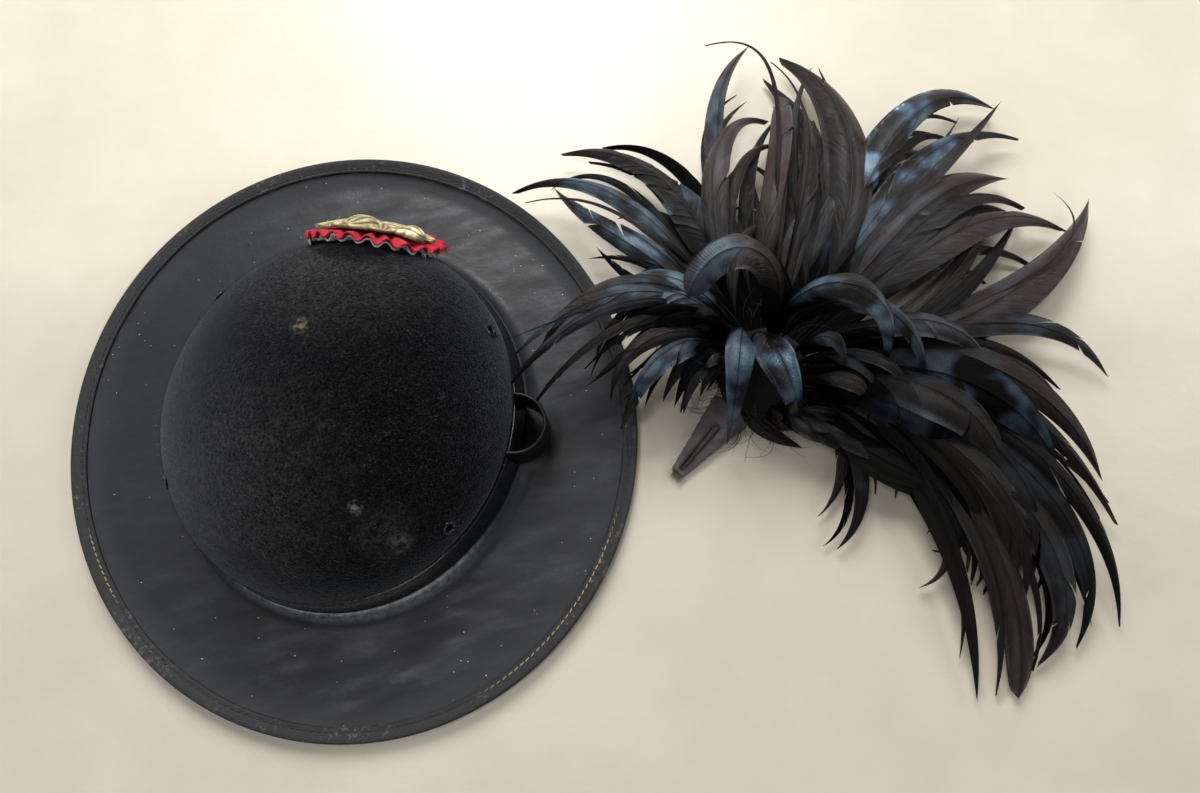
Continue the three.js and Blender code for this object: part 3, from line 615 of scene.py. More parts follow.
outer = crownRows(0.0, crown["rings"])
inner = crownRows(-float(hat["felt"]), crown["innerRings"])
rows = outer[::-1] + inner
top = hat["crownHeight"]
points = np.concatenate([np.stack(rows).reshape(-1, 3), [[0, 0, top], [0, 0, top - hat["felt"]]]])
crownMesh = outwards(meshFrom("crownFelt", placeHat(points), domeFaces(len(rows), crown["around"])))

eyelet = {"height": 42, "radius": 3.7, "bore": 1.9, "wall": 0.7, "flange": 0.8, "lip": 0.15, "around": 36, "turns": {
    "eyelet_right_front": 35, "eyelet_right_back": -35.5, "eyelet_left_front": 146, "eyelet_left_back": 215}}
barrel = eyelet["bore"] + eyelet["wall"]


def eyeletPlace(turn):
    angle = math.radians(turn)
    at, above, beside = (onRay(a, crownReach(a, z), z) for a, z in (
        (angle, eyelet["height"]), (angle, eyelet["height"] + 1), (angle + 0.01, eyelet["height"])))
    normal = np.cross(beside - at, above - at)
    normal = normal / np.linalg.norm(normal)
    side = np.cross([0, 0, 1], normal)
    side = side / np.linalg.norm(side)
    return at, normal, side, np.cross(normal, side)


def eyeletRing(turn, reach, depth, count):
    at, normal, side, up = eyeletPlace(turn)
    return [at + normal * depth + (side * math.cos(a) + up * math.sin(a)) * reach for a in circle(count)]


crownPiece = addObject("crownCut", crownMesh)
for turn in eyelet["turns"].values():
    hole = [eyeletRing(turn, barrel + clearance, depth, 24) for depth in (-9, 9)]
    drill = outwards(meshFrom("drill", placeHat(np.array(hole).reshape(-1, 3)), tubeFaces(2, 24)))
    drillPiece = addObject("drill", drill)
    cut = crownPiece.modifiers.new("hole", "BOOLEAN")
    cut.operation, cut.solver, cut.object = "DIFFERENCE", "EXACT", drillPiece
graph = bpy.context.evaluated_depsgraph_get()
crownMesh = bpy.data.meshes.new_from_object(crownPiece.evaluated_get(graph), depsgraph=graph)
crownMesh.name = "crownFelt"
crownMesh.materials.clear()
for piece in [o for o in bpy.data.objects if o.name.startswith(("drill", "crownCut"))]:
    bpy.data.objects.remove(piece)
newPiece("crown_felt", crownMesh, ["crown"], [felt])

# Fuzz and lint grow on the dome alone, lint more on the wearer's left and at the back
dome = np.stack(outer[5:])
skin = np.concatenate([dome.reshape(-1, 3), [[0, 0, top]]])
start = (len(dome) - 1) * crown["around"]
skinFaces = gridFaces(len(dome), crown["around"], aroundColumns=True)
skinFaces += [(start + k, start + (k + 1) % crown["around"], len(skin) - 1) for k in range(crown["around"])]
linty = 0.08 + smoothstep(60, -60, skin[:, 0]) * smoothstep(80, -40, skin[:, 1])
strands = strandTree("strands")
fuzz = newMaterial("feltFuzz", Base_Color=(0.011, 0.0115, 0.014, 1), Roughness=1.0, Specular_IOR_Level=0.1)
lint = newMaterial("lint", Base_Color=(0.16, 0.15, 0.13, 1), Roughness=1.0, Specular_IOR_Level=0.1)
short = {"Density": crown["fuzz"], "Length": 0.0015, "Width": 0.00005, "Bend": 0.5, "Lean": 0.9, "Steps": 2, "Seed": 3}
curled = {"Density": crown["lint"], "Length": 0.0034, "Width": 0.00007, "Bend": 0.9, "Lean": 6.0, "Steps": 6, "Seed": 11}
for name, share, values, material in (("felt_fuzz", np.ones(len(skin)), short, fuzz), ("felt_lint", linty, curled, lint)):
    carrier = meshFrom(name + "Skin", placeHat(skin), skinFaces, marks={"share": share})
    runTree(name, carrier, strands, values, material)
print("crown")

# Patent band with rolled edges
band = {"around": 200, "rows": 15, "bead": 0.3, "beadIn": 0.9, "beadWidth": 1.6, "edgeRound": 0.35, "bandHighlightTurn": 283,
        "bandHighlightShare": 0.72}
patent = newMaterial("patentLeather", Coat_Weight=0.22, Coat_Roughness=0.16, Specular_IOR_Level=0.5)
where = objectCoords(patent, centre=hatMiddle)
cracks = noiseOf(patent, where, 2.2, 7, 0.7, 0.6)
polish = rampOf(patent, cracks, [(0.35, (0.0022, 0.0025, 0.0032)), (0.7, (0.008, 0.009, 0.012))])
# Painted reflection: a pale satin stripe across the band's upper part at the front
paintedBandHighlight = times(patent, markOf(patent, "wearAndPaintedHighlight"), spanOf(patent, cracks, 0.3, 0.6, 0.4, 1.0))
wire(patent, mixOf(patent, paintedBandHighlight, polish, (0.11, 0.103, 0.092)), "Base Color")
wire(patent, spanOf(patent, cracks, 0.3, 0.8, 0.1, 0.4), "Roughness")
wire(patent, bumpOf(patent, cracks, 0.2, 0.35, bumpOf(patent, noiseOf(patent, where, 12, 2), 0.6, 0.5)), "Normal")
angles = circle(band["around"])
# Where the band's painted reflection lies round the band and up it
front = smoothstep(0.75, 0.1, np.abs(angles - math.radians(band["bandHighlightTurn"])))
rows, wearAndPaintedHighlight = [], []
for share in np.linspace(0, 1, band["rows"]):
    z = hat["bandFoot"] + share * hat["bandHeight"]
    edge = min(share, 1 - share) * hat["bandHeight"]
    swell = band["bead"] * math.exp(-((edge - band["beadIn"]) / band["beadWidth"]) ** 2)
    swell -= band["edgeRound"] * math.exp(-(edge / band["edgeRound"]) ** 2)
    rows.append(onRay(angles, crownReach(angles, z) + clearance + hat["bandThickness"] + swell, z + 0 * angles))
    wearAndPaintedHighlight.append(front * math.exp(-((share - band["bandHighlightShare"]) / 0.2) ** 2))
for z in (bandTop, hat["bandFoot"]):
    rows.append(onRay(angles, crownReach(angles, z) + clearance, z + 0 * angles))
    wearAndPaintedHighlight.append(0 * angles)
bandMesh = ringSkin("bandSkin", rows, {"wearAndPaintedHighlight": np.concatenate(wearAndPaintedHighlight)})
newPiece("band_leather", bandMesh, ["hat_band"], [patent])

# Eyelets: a rolled ring with its barrel
ringMetal = newMaterial("eyeletMetal", Metallic=0.9, Roughness=0.35)
chips = spanOf(ringMetal, noiseOf(ringMetal, objectCoords(ringMetal, centre=hatMiddle), 1.1, 5, 0.7), 0.5, 0.62)
wire(ringMetal, mixOf(ringMetal, chips, (0.012, 0.012, 0.014), (0.16, 0.165, 0.18)), "Base Color")
middle, tube = (eyelet["radius"] + eyelet["bore"]) / 2, (eyelet["radius"] - eyelet["bore"]) / 2
section = [(eyelet["bore"], -hat["felt"]), (barrel, -hat["felt"]), (barrel, clearance)]
section.append((eyelet["radius"] - eyelet["lip"], clearance))
for a in np.linspace(0, math.pi, 9):
    section.append((middle + tube * math.cos(a), clearance + eyelet["lip"] + eyelet["flange"] * math.sin(a)))
for name, turn in eyelet["turns"].items():
    rings = [eyeletRing(turn, reach, depth, eyelet["around"]) for reach, depth in section]
    newPiece(name + "_ring", ringSkin(name + "Ring", rings), [name], [ringMetal])
print("band and eyelets")

# Plume pocket: a D-shaped loop of stiff leather, its rim a little flared
pocket = {"turn": 4, "width": 33, "depth": 16.5, "wall": 2, "height": 24, "flare": 0.2, "ends": 4.2, "round": 0.4,
          "lip": 0.38, "lipFall": 1.2}
turn = math.radians(pocket["turn"])
start = float(crownReach(turn, hat["bandFoot"]))
halfMid, bow = pocket["width"] / 2 - pocket["wall"] / 2, pocket["depth"] - pocket["wall"] / 2
ends = pocket["ends"] * np.linspace(0, 1, 5)
course = [(x - pocket["ends"], -halfMid) for x in ends[:-1]]
course += [(bow * math.cos(a), halfMid * math.sin(a)) for a in np.linspace(-math.pi / 2, math.pi / 2, 29)]
course = np.array(course + [(-x, halfMid) for x in ends[1:]])
ahead = np.gradient(course, axis=0)
outside = np.stack([ahead[:, 1], -ahead[:, 0]], -1) / np.linalg.norm(ahead, axis=1, keepdims=True)
half, tall, lip, shoulder = pocket["wall"] / 2, pocket["height"], pocket["lip"], pocket["height"] - pocket["lipFall"]
section = [(-half, pocket["round"]), (-half + pocket["round"], 0), (half - pocket["round"], 0), (half, pocket["round"])]
section += [(half, tall * t) for t in (0.25, 0.5, 0.75)]
section += [(half, shoulder), (lip, tall), (-lip, tall), (-half, shoulder)]
section += [(-half, tall * t) for t in (0.75, 0.5, 0.25)]
rings = []
for k, (place, out) in enumerate(zip(course, outside)):
    ring = []
    for across, rise in section:
        flared = pocket["flare"] * (rise / tall) ** 3 * math.sin(math.pi * k / (len(course) - 1))
        x, y = place + out * (across - flared)
        x, z = x + start, hat["bandFoot"] + rise
        ring.append((x * math.cos(turn) - y * math.sin(turn), x * math.sin(turn) + y * math.cos(turn), z))
    rings.append(ring)
rings = np.array(rings)
# Its two ends lie on the band
for point in [corner for k in (0, 1, -2, -1) for corner in rings[k]]:
    angle, reach = math.atan2(point[1], point[0]), math.hypot(point[0], point[1])
    least = float(crownReach(angle, min(point[2], bandTop))) + clearance + hat["bandThickness"] + band["bead"] + 0.1
    if point[2] > bandTop:
        least = max(least, float(crownReach(angle, point[2])) + clearance + 0.2)
    point[:2] *= max(reach, least) / reach
stiff = newMaterial("pocketLeather", Roughness=0.4, Specular_IOR_Level=0.24)
handled = noiseOf(stiff, objectCoords(stiff, centre=hatMiddle), 4, 6, 0.7)
wire(stiff, rampOf(stiff, handled, [(0.35, (0.0009, 0.001, 0.0014)), (0.7, (0.0045, 0.0048, 0.006))]), "Base Color")
wire(stiff, bumpOf(stiff, handled, 0.3, 0.7), "Normal")
pocketMesh = outwards(meshFrom("pocketSkin", placeHat(rings.reshape(-1, 3)), tubeFaces(len(rings), len(section))))
newPiece("pocket_leather", pocketMesh, ["plume_pocket"], [stiff])
print("pocket")

# Cockade: two rounds of pleated ribbon, bent about the crown
cockade = {
    "radius": 37, "height": 41, "lean": 30, "standOff": 4, "pleats": 20, "pleatDepth": 2.2, "ribbon": 1.0,
    "whiteRadius": 35, "steps": 14, "perPleat": 16, "ribWidth": 0.55, "greyEdge": 1.6,
}


def cockadePoint(across, up, out):
    lean = math.radians(cockade["lean"])
    seat = float(crownReach(math.pi / 2, cockade["height"])) + cockade["standOff"]
    reach = seat - up * math.sin(lean) + out * math.cos(lean)
    height = cockade["height"] + up * math.cos(lean) + out * math.sin(lean)
    return onRay(math.pi / 2 - across / seat, reach, height)


def ribbonMaterial(name, dark, light, grubby):
    material = newMaterial(name, Roughness=0.6, Sheen_Weight=0.06, Sheen_Roughness=0.35, Specular_IOR_Level=0.35)
    uv = addNode(material, "ShaderNodeUVMap", uv_map="along").outputs["UV"]
    split = addNode(material, "ShaderNodeSeparateXYZ", {"Vector": uv})
    ribs = mathOf(material, "SINE", times(material, split.outputs["Y"], 2 * math.pi / cockade["ribWidth"]))
    soiled = noiseOf(material, objectCoords(material, centre=hatMiddle), 6, 5, 0.65)
    colour = rampOf(material, soiled, [(0.3, dark), (0.55, light), (0.8, light)])
    edge = spanOf(material, split.outputs["Y"], cockade["radius"] - cockade["greyEdge"], cockade["radius"], 0.0, 0.5)
    wire(material, mixOf(material, edge, colour, grubby), "Base Color")
    wire(material, bumpOf(material, ribs, 0.12, 0.6), "Normal")
    return material


def pleatedDisc(name, radius, back, seed, material, node):
    turns = cockade["pleats"] * cockade["perPleat"]
    source = random.Random(seed)
    depths = [source.uniform(0.75, 1.05) for _ in range(cockade["pleats"])]
    rims = [source.uniform(0.965, 1.0) for _ in range(cockade["pleats"] * 2)]
    shares = np.linspace(0.03, 1, cockade["steps"])
    angle = circle(turns)
    phase = angle / (2 * math.pi) * cockade["pleats"]
    zigzag = np.arcsin(np.sin(2 * math.pi * phase + math.pi / 2) * 0.93) / (math.pi / 2) * 1.08
    depth = np.array([depths[int(p)] for p in phase])
    blend = smoothstep(0, 1, phase * 2 % 1)
    rim = np.array([rims[int(p * 2)] * (1 - b) + rims[(int(p * 2) + 1) % len(rims)] * b for p, b in zip(phase, blend)])
    points, uvs = [], []
    for front in (True, False):
        for share in shares if front else shares[::-1]:
            fold = zigzag * depth * cockade["pleatDepth"] * share * radius / cockade["radius"]
            out = back + (cockade["ribbon"] if front else 0.0) + fold
            reach = radius * share * (1 - (1 - rim) * share ** 4)
            slip = 0.012 * np.sin(2 * math.pi * phase * 2) * share
            for a, r, o, s in zip(angle, reach, out, slip):
                points.append(cockadePoint(r * math.cos(a + s), r * math.sin(a + s), o))
                uvs.append((a * radius, r))
    points += [cockadePoint(0, 0, back + cockade["ribbon"]), cockadePoint(0, 0, back)]
    uvs += [(0, 0), (0, 0)]
    mesh = meshFrom(name, placeHat(np.array(points)), domeFaces(2 * cockade["steps"], turns), uvs)
    newPiece(name, outwards(mesh), [node], [material])


redRibbon = ribbonMaterial("redRibbon", (0.2, 0.002, 0.012), (0.46, 0.004, 0.028), (0.16, 0.006, 0.018))
whiteRibbon = ribbonMaterial("whiteRibbon", (0.28, 0.27, 0.27), (0.6, 0.58, 0.55), (0.22, 0.21, 0.21))
redBack = -cockade["ribbon"] / 2
whiteBack = redBack - cockade["ribbon"] - 2 * clearance
pleatedDisc("cockade_red_ribbon", cockade["radius"], redBack, 5, redRibbon, "cockade_red")
pleatedDisc("cockade_white_ribbon", cockade["whiteRadius"], whiteBack, 8, whiteRibbon, "cockade_white")

# Frayed threads. Each stretch gives its two ends round the cockade, its reach and how far out it lies, its threads'
# length and thickness, their colour and slot
frays = {
    "red_fray": (-48, 2, 36, 0.3, 5.2, 0.16, (0.24, 0.004, 0.018, 1), "red_ribbon"),
    "white_fray": (-34, 16, 34.4, -2.4, 3.2, 0.3, (0.5, 0.48, 0.46, 1), "white_ribbon"),
    "white_gathers": (158, 206, 34.6, -2.2, 2.6, 0.3, (0.5, 0.48, 0.46, 1), "white_ribbon"),
}
for name, (low, high, reach, out, length, thick, colour, slot) in frays.items():
    sweep, stations = np.radians(np.linspace(low, high, 13)), (out - 0.6, out + 0.6)
    edge = [cockadePoint(reach * math.cos(a), reach * math.sin(a), o) for a in sweep for o in stations]
    carrier = meshFrom(name + "Edge", placeHat(np.array(edge)), gridFaces(13, 2), marks={"share": [1] * 26})
    fibre = newMaterial(name + "Thread", Base_Color=colour, Roughness=0.85)
    threads = {"Density": 2.6e6, "Length": length * mm, "Width": thick * mm, "Bend": 0.5, "Lean": 1.0, "Steps": 5,
               "Seed": 2}
    runTree(name, carrier, strands, threads, fibre)

# The white ribbon's edge, turned back over the rim on one side
sweep = np.radians(np.linspace(150, 202, 25))
section = ((35.6, -1.9), (36.1, -1.9), (36.3, -5.2), (35.8, -5.2))
turned = np.array([cockadePoint(r * math.cos(a), r * math.sin(a), out) for a in sweep for r, out in section])
turnedMesh = meshFrom("turnedEdge", placeHat(turned), tubeFaces(25, 4), [(36 * a, 30.0) for a in sweep for _ in section])
newPiece("cockade_turned_edge", outwards(turnedMesh), materials=[whiteRibbon])
print("cockade")

# Gilt spray: plain stamped leaves, each creased lengthwise over one ridge. A leaf gives its turn, reach, width, the
# ridge's height, where along the leaf it is highest, and how long it is
gilt = {
    "reach": 34, "thickness": 1.4, "rows": 49, "columns": 29, "shoulder": 0.6, "creases": 2.6, "creaseHeight": 0.6,
    "leaves": (
        (-94, 0.96, 0.2, 1.5, 0.4, 0.4), (-62, 0.88, 0.22, 1.5, 0.4, 0.4), (-33, 0.8, 0.24, 3, 0.45, 0.4),
        (-8, 0.88, 0.32, 4.7, 0.5, 0.4), (30, 0.74, 0.22, 1.5, 0.4, 0.4), (71, 1.0, 0.24, 4.8, 0.82, 0.26),
        (94, 0.96, 0.2, 1.6, 0.4, 0.4)),
}
giltMetal = newMaterial("gilt", Metallic=0.7)
where = objectCoords(giltMetal, centre=hatMiddle)
tarnish = noiseOf(giltMetal, where, 5, 6, 0.65)
# Painted shade: the leaves darken in their creases
paintedCreaseShade = spanOf(giltMetal, markOf(giltMetal, "crease"), 0.15, 0.7, 0, 0.85)
stamped = rampOf(giltMetal, tarnish, [(0.3, (0.2, 0.15, 0.075)), (0.48, (0.5, 0.42, 0.25)), (0.68, (0.74, 0.68, 0.5))])
wire(giltMetal, mixOf(giltMetal, paintedCreaseShade, stamped, (0.09, 0.06, 0.025)), "Base Color")
wire(giltMetal, spanOf(giltMetal, tarnish, 0.3, 0.7, 0.36, 0.62), "Roughness")
wire(giltMetal, bumpOf(giltMetal, noiseOf(giltMetal, where, 0.8, 4), 0.1, 0.5), "Normal")
giltBack = cockade["ribbon"] / 2 + cockade["pleatDepth"] * gilt["reach"] / cockade["radius"] + clearance
points, faces, creases = [], [], []
for turn, long, wide, ridge, peak, spread in gilt["leaves"]:
    angle = math.radians(turn)
    base, layer = len(points), gilt["rows"] * gilt["columns"]
    for under in (False, True):
        for t in np.linspace(0, 1, gilt["rows"]):
            grown = 0.62 + 0.38 * math.sin(min(t / gilt["shoulder"], 1) * math.pi / 2)
            outline = grown * math.sqrt(max(0.001, 1 - max(0, (t - gilt["shoulder"]) / (1 - gilt["shoulder"])) ** 2.2))
            for s in np.linspace(-1, 1, gilt["columns"]):
                reach = (-0.1 + 1.1 * t) * long * gilt["reach"]
                offset = s * outline * wide * gilt["reach"] * (1 + 0.05 * math.cos(12 * math.pi * t))
                fold = abs(math.sin(math.pi * (s * gilt["creases"] + 0.5 * math.sin(3.4 * t + turn))))
                arch = ridge * (1 - abs(s) ** 1.8) * math.exp(-((t - peak) / spread) ** 2)
                face = gilt["thickness"] * (1 - 0.4 * abs(s) ** 6) + arch
                face += gilt["creaseHeight"] * fold * (1 - abs(s) ** 3)
                x = reach * math.sin(angle) + offset * math.cos(angle)
                y = reach * math.cos(angle) - offset * math.sin(angle)
                points.append(cockadePoint(x, y, giltBack + (0.0 if under else face)))
                creases.append(1 - fold)
    faces += slabFaces(gilt["rows"], gilt["columns"], base, base + layer)
giltMesh = outwards(meshFrom("giltLeaves", placeHat(np.array(points)), faces, marks={"crease": creases}))
newPiece("gilt_leaves", giltMesh, ["gilt_spray"], [giltMetal])
print("gilt spray")

# Plume: feathers on a bound knot. A row gives the tip's bearing and reach from the knot, the headings in which the
# feather leaves the knot and ends, its width, the height of its crest and tip, a blunt tip, and its blue sheen
plume = {
    "reach": 250, "height": 90, "featherWidth": 30, "rootReach": 12, "rootHeight": 16, "steps": 30, "across": 5,
    "slant": 0.16, "arch": 0.55, "sheet": 0.22, "shaft": 0.55, "shaftSides": 5, "splits": 2, "openings": 0.16,
    "ragged": 0.03, "seed": 17, "deepShadeTone": 0.13, "halfShadeTone": 0.27, "blueFrom": 0.25, "lowest": 0.35,
}
upright = [
    (89, 0.82, 103, 52, 0.42, 0.36, 0.16, 0, 0.3), (84, 0.8, 48, 140, 0.9, 0.33, 0.11, 0, 0.05),
    (77, 0.79, 62, 105, 0.27, 0.24, 0.09, 0, 0.1), (78, 0.79, 68, 62, 0.27, 0.22, 0.09, 0, 0.1),
    (84, 0.67, 92, 88, 0.47, 0.4, 0.2, 1, 0.1), (86, 0.59, 118, 0, 0.53, 0.47, 0.24, 0, 0.1),
    (98, 0.57, 113, 75, 0.27, 0.28, 0.13, 0, 0.1), (79, 0.68, 76, 95, 0.4, 0.31, 0.13, 0, 0.1),
    (76, 0.64, 70, 85, 0.47, 0.27, 0.11, 1, 0.1), (70, 0.46, 72, 55, 0.4, 0.31, 0.16, 0, 0.1),
    (97, 0.81, 86, 178, 0.13, 0.44, 0.22, 0, 0), (86, 0.74, 76, 122, 0.1, 0.44, 0.28, 0, 0),
]
overBrim = [
    (129, 0.7, 104, 182, 0.5, 0.27, 0.12, 0, 0.05), (120, 0.59, 110, 148, 0.73, 0.29, 0.11, 0, 0.24),
    (142, 0.7, 120, 200, 0.36, 0.34, 0.18, 0, 0.45), (136, 0.63, 128, 122, 0.46, 0.36, 0.22, 0, 0.55),
    (177, 0.48, 128, 242, 0.4, 0.61, 0.24, 0, 0.2), (179, 0.52, 132, 215, 0.33, 0.62, 0.44, 0, 0.4),
    (161, 0.37, 128, 230, 0.43, 0.56, 0.24, 0, 0.55), (167, 0.34, 135, 240, 0.43, 0.56, 0.24, 0, 0.3),
    (164, 0.4, 132, 205, 0.43, 0.53, 0.24, 0, 0.5), (203, 0.33, 155, 252, 0.47, 0.53, 0.2, 0, 0.4),
    (192, 0.33, 150, 262, 0.33, 0.5, 0.2, 0, 0.1), (196, 0.22, 165, 235, 0.4, 0.42, 0.1, 0, 0.1),
    (189, 0.17, 170, 228, 0.4, 0.4, 0.1, 0, 0.1), (142, 0.66, 126, 178, 0.1, 0.4, 0.18, 0, 0),
    (186, 0.55, 134, 222, 0.3, 0.62, 0.3, 0, 0.1), (190, 0.5, 138, 226, 0.24, 0.55, 0.25, 0, 0),
    (176, 0.54, 134, 186, 0.045, 0.6, 0.47, 0, 0),
]
curling = [
    (146, 0.2, 70, 236, 0.7, 1.06, 0.55, 1, 0.5), (243, 0.18, 130, 265, 0.5, 0.73, 0.12, 0, 0.6),
    (298, 0.14, 112, 290, 0.64, 0.55, 0.15, 0, 0.75), (350, 0.16, 25, 322, 0.3, 0.6, 0.4, 0, 0.3),
    (354, 0.235, 82, 266, 0.48, 0.96, 0.33, 0, 0.9), (346, 0.32, 60, 268, 0.36, 0.74, 0.24, 0, 0.2),
    (343, 0.33, 8, 322, 0.28, 0.55, 0.29, 0, 0.08), (339, 0.26, 5, 318, 0.28, 0.5, 0.31, 0, 0.08),
    (331, 0.25, 338, 290, 0.36, 0.5, 0.15, 0, 0.1),
]
outward = [
    (48, 0.88, 52, 52, 0.3, 0.29, 0.13, 0, 0.1), (48, 0.86, 56, 338, 0.67, 0.31, 0.11, 0, 1),
    (42, 0.84, 50, 350, 0.53, 0.29, 0.09, 0, 0.7), (38, 0.74, 40, 5, 1, 0.31, 0.11, 0, 0.1),
    (32, 0.72, 36, 335, 0.53, 0.29, 0.11, 0, 0.05), (25, 0.77, 33, 338, 0.7, 0.29, 0.09, 0, 0.05),
    (28, 0.85, 6, 62, 0.8, 0.29, 0.13, 0, 0.1), (359, 0.74, 10, 305, 0.47, 0.27, 0.06, 0, 0.15),
    (31, 0.75, 12, 135, 0.07, 0.28, 0.28, 0, 0),
]
tail = [
    (341, 0.73, 12, 300, 0.53, 0.38, 0.07, 0, 0.05), (335, 0.78, 8, 305, 0.37, 0.38, 0.07, 0, 0),
    (322, 0.86, 356, 272, 0.37, 0.36, 0.07, 0, 0), (316, 0.82, 354, 245, 0.5, 0.33, 0.06, 0, 0.05),
    (310, 0.79, 350, 225, 0.67, 0.33, 0.06, 0, 0.05), (305, 0.81, 340, 262, 0.56, 0.29, 0.06, 1, 0),
    (315, 0.69, 345, 262, 0.47, 0.42, 0.13, 0, 0), (316, 0.63, 338, 258, 0.53, 0.42, 0.16, 1, 0),
    (313, 0.64, 332, 245, 0.43, 0.27, 0.06, 1, 0), (315, 0.55, 340, 238, 0.6, 0.36, 0.11, 1, 0.05),
    (311, 0.5, 338, 168, 0.26, 0.24, 0.07, 0, 0.05), (303, 0.54, 344, 196, 0.26, 0.22, 0.06, 0, 0.05),
    (323, 0.39, 342, 282, 0.37, 0.29, 0.07, 0, 0.05), (314, 0.38, 330, 255, 0.3, 0.24, 0.07, 0, 0),
    (290, 0.4, 336, 217, 0.28, 0.2, 0.06, 0, 0.05), (339, 0.62, 358, 310, 0.87, 0.51, 0.22, 0, 0.15),
    (332, 0.53, 351, 300, 0.87, 0.56, 0.28, 0, 0.1), (329, 0.44, 342, 300, 0.87, 0.51, 0.28, 0, 0.1),
    (323, 0.67, 352, 280, 0.87, 0.44, 0.17, 0, 0.05), (357, 0.47, 22, 308, 0.5, 0.5, 0.25, 0, 0.12),
    (297, 0.18, 235, 345, 0.3, 0.11, 0.04, 0, 0), (330, 0.42, 303, 348, 0.5, 0.3, 0.07, 0, 0.05),
    (329, 0.34, 296, 352, 0.45, 0.3, 0.07, 0, 0.05), (324, 0.26, 286, 352, 0.4, 0.28, 0.07, 0, 0),
    (326, 0.5, 310, 342, 0.5, 0.3, 0.07, 0, 0), (310, 0.18, 272, 345, 0.3, 0.25, 0.08, 0, 0),
]


def heading(degrees):
    return np.array([math.cos(math.radians(degrees)), math.sin(math.radians(degrees))])


def featherCourse(row):
    bearing, share, leaves, ends, _, crest, tip = row[:7]
    reach = share * plume["reach"]
    root, last = heading(leaves) * plume["rootReach"], heading(bearing) * reach
    first = root + heading(leaves) * max(0.42 * reach, 14)
    before = last - heading(ends) * max(0.3 * reach, 10)
    tipHeight = tip * plume["height"]
    crestHeight = 2 * crest * plume["height"] - (plume["rootHeight"] + tipHeight) / 2

    def at(t):
        t = np.asarray(t, float)[..., None]
        flat = (1 - t) ** 3 * root + 3 * t * (1 - t) ** 2 * first + 3 * t * t * (1 - t) * before + t ** 3 * last
        t = t[..., 0]
        rise = (1 - t) ** 2 * plume["rootHeight"] + 2 * t * (1 - t) * crestHeight + t * t * tipHeight
        return np.concatenate([flat, rise[..., None]], -1) + plumeKnot
    return at


def courseFrame(at, t):
    ahead = at(np.minimum(t + 0.01, 1)) - at(np.maximum(t - 0.01, 0))
    ahead /= np.maximum(np.linalg.norm(ahead, axis=-1, keepdims=True), 1e-9)
    side = np.stack([-ahead[..., 1], ahead[..., 0], 0 * ahead[..., 0]], -1)
    side /= np.maximum(np.linalg.norm(side, axis=-1, keepdims=True), 1e-9)
    return ahead, side, np.cross(ahead, side)


def featherOutline(t, blunt):
    grown = np.interp(t, [0, 0.1, 0.22, 0.46, 0.7], [0.8, 1.25, 1.15, 0.9, 1] if blunt else [0.22, 0.42, 0.76, 1, 1])
    starts = 0.8 if blunt else 0.52
    end = np.clip((t - starts) / (1 - starts), 0, 1)
    return grown * np.clip(1 - end ** (2.6 if blunt else 1.35), 0, 1) ** (0.5 if blunt else 0.85)


def rootShade(t):
    # Painted shade: feathers darken towards their roots, inside the plume
    return 0.04 + 0.96 * smoothstep(0.1, 0.5, t)


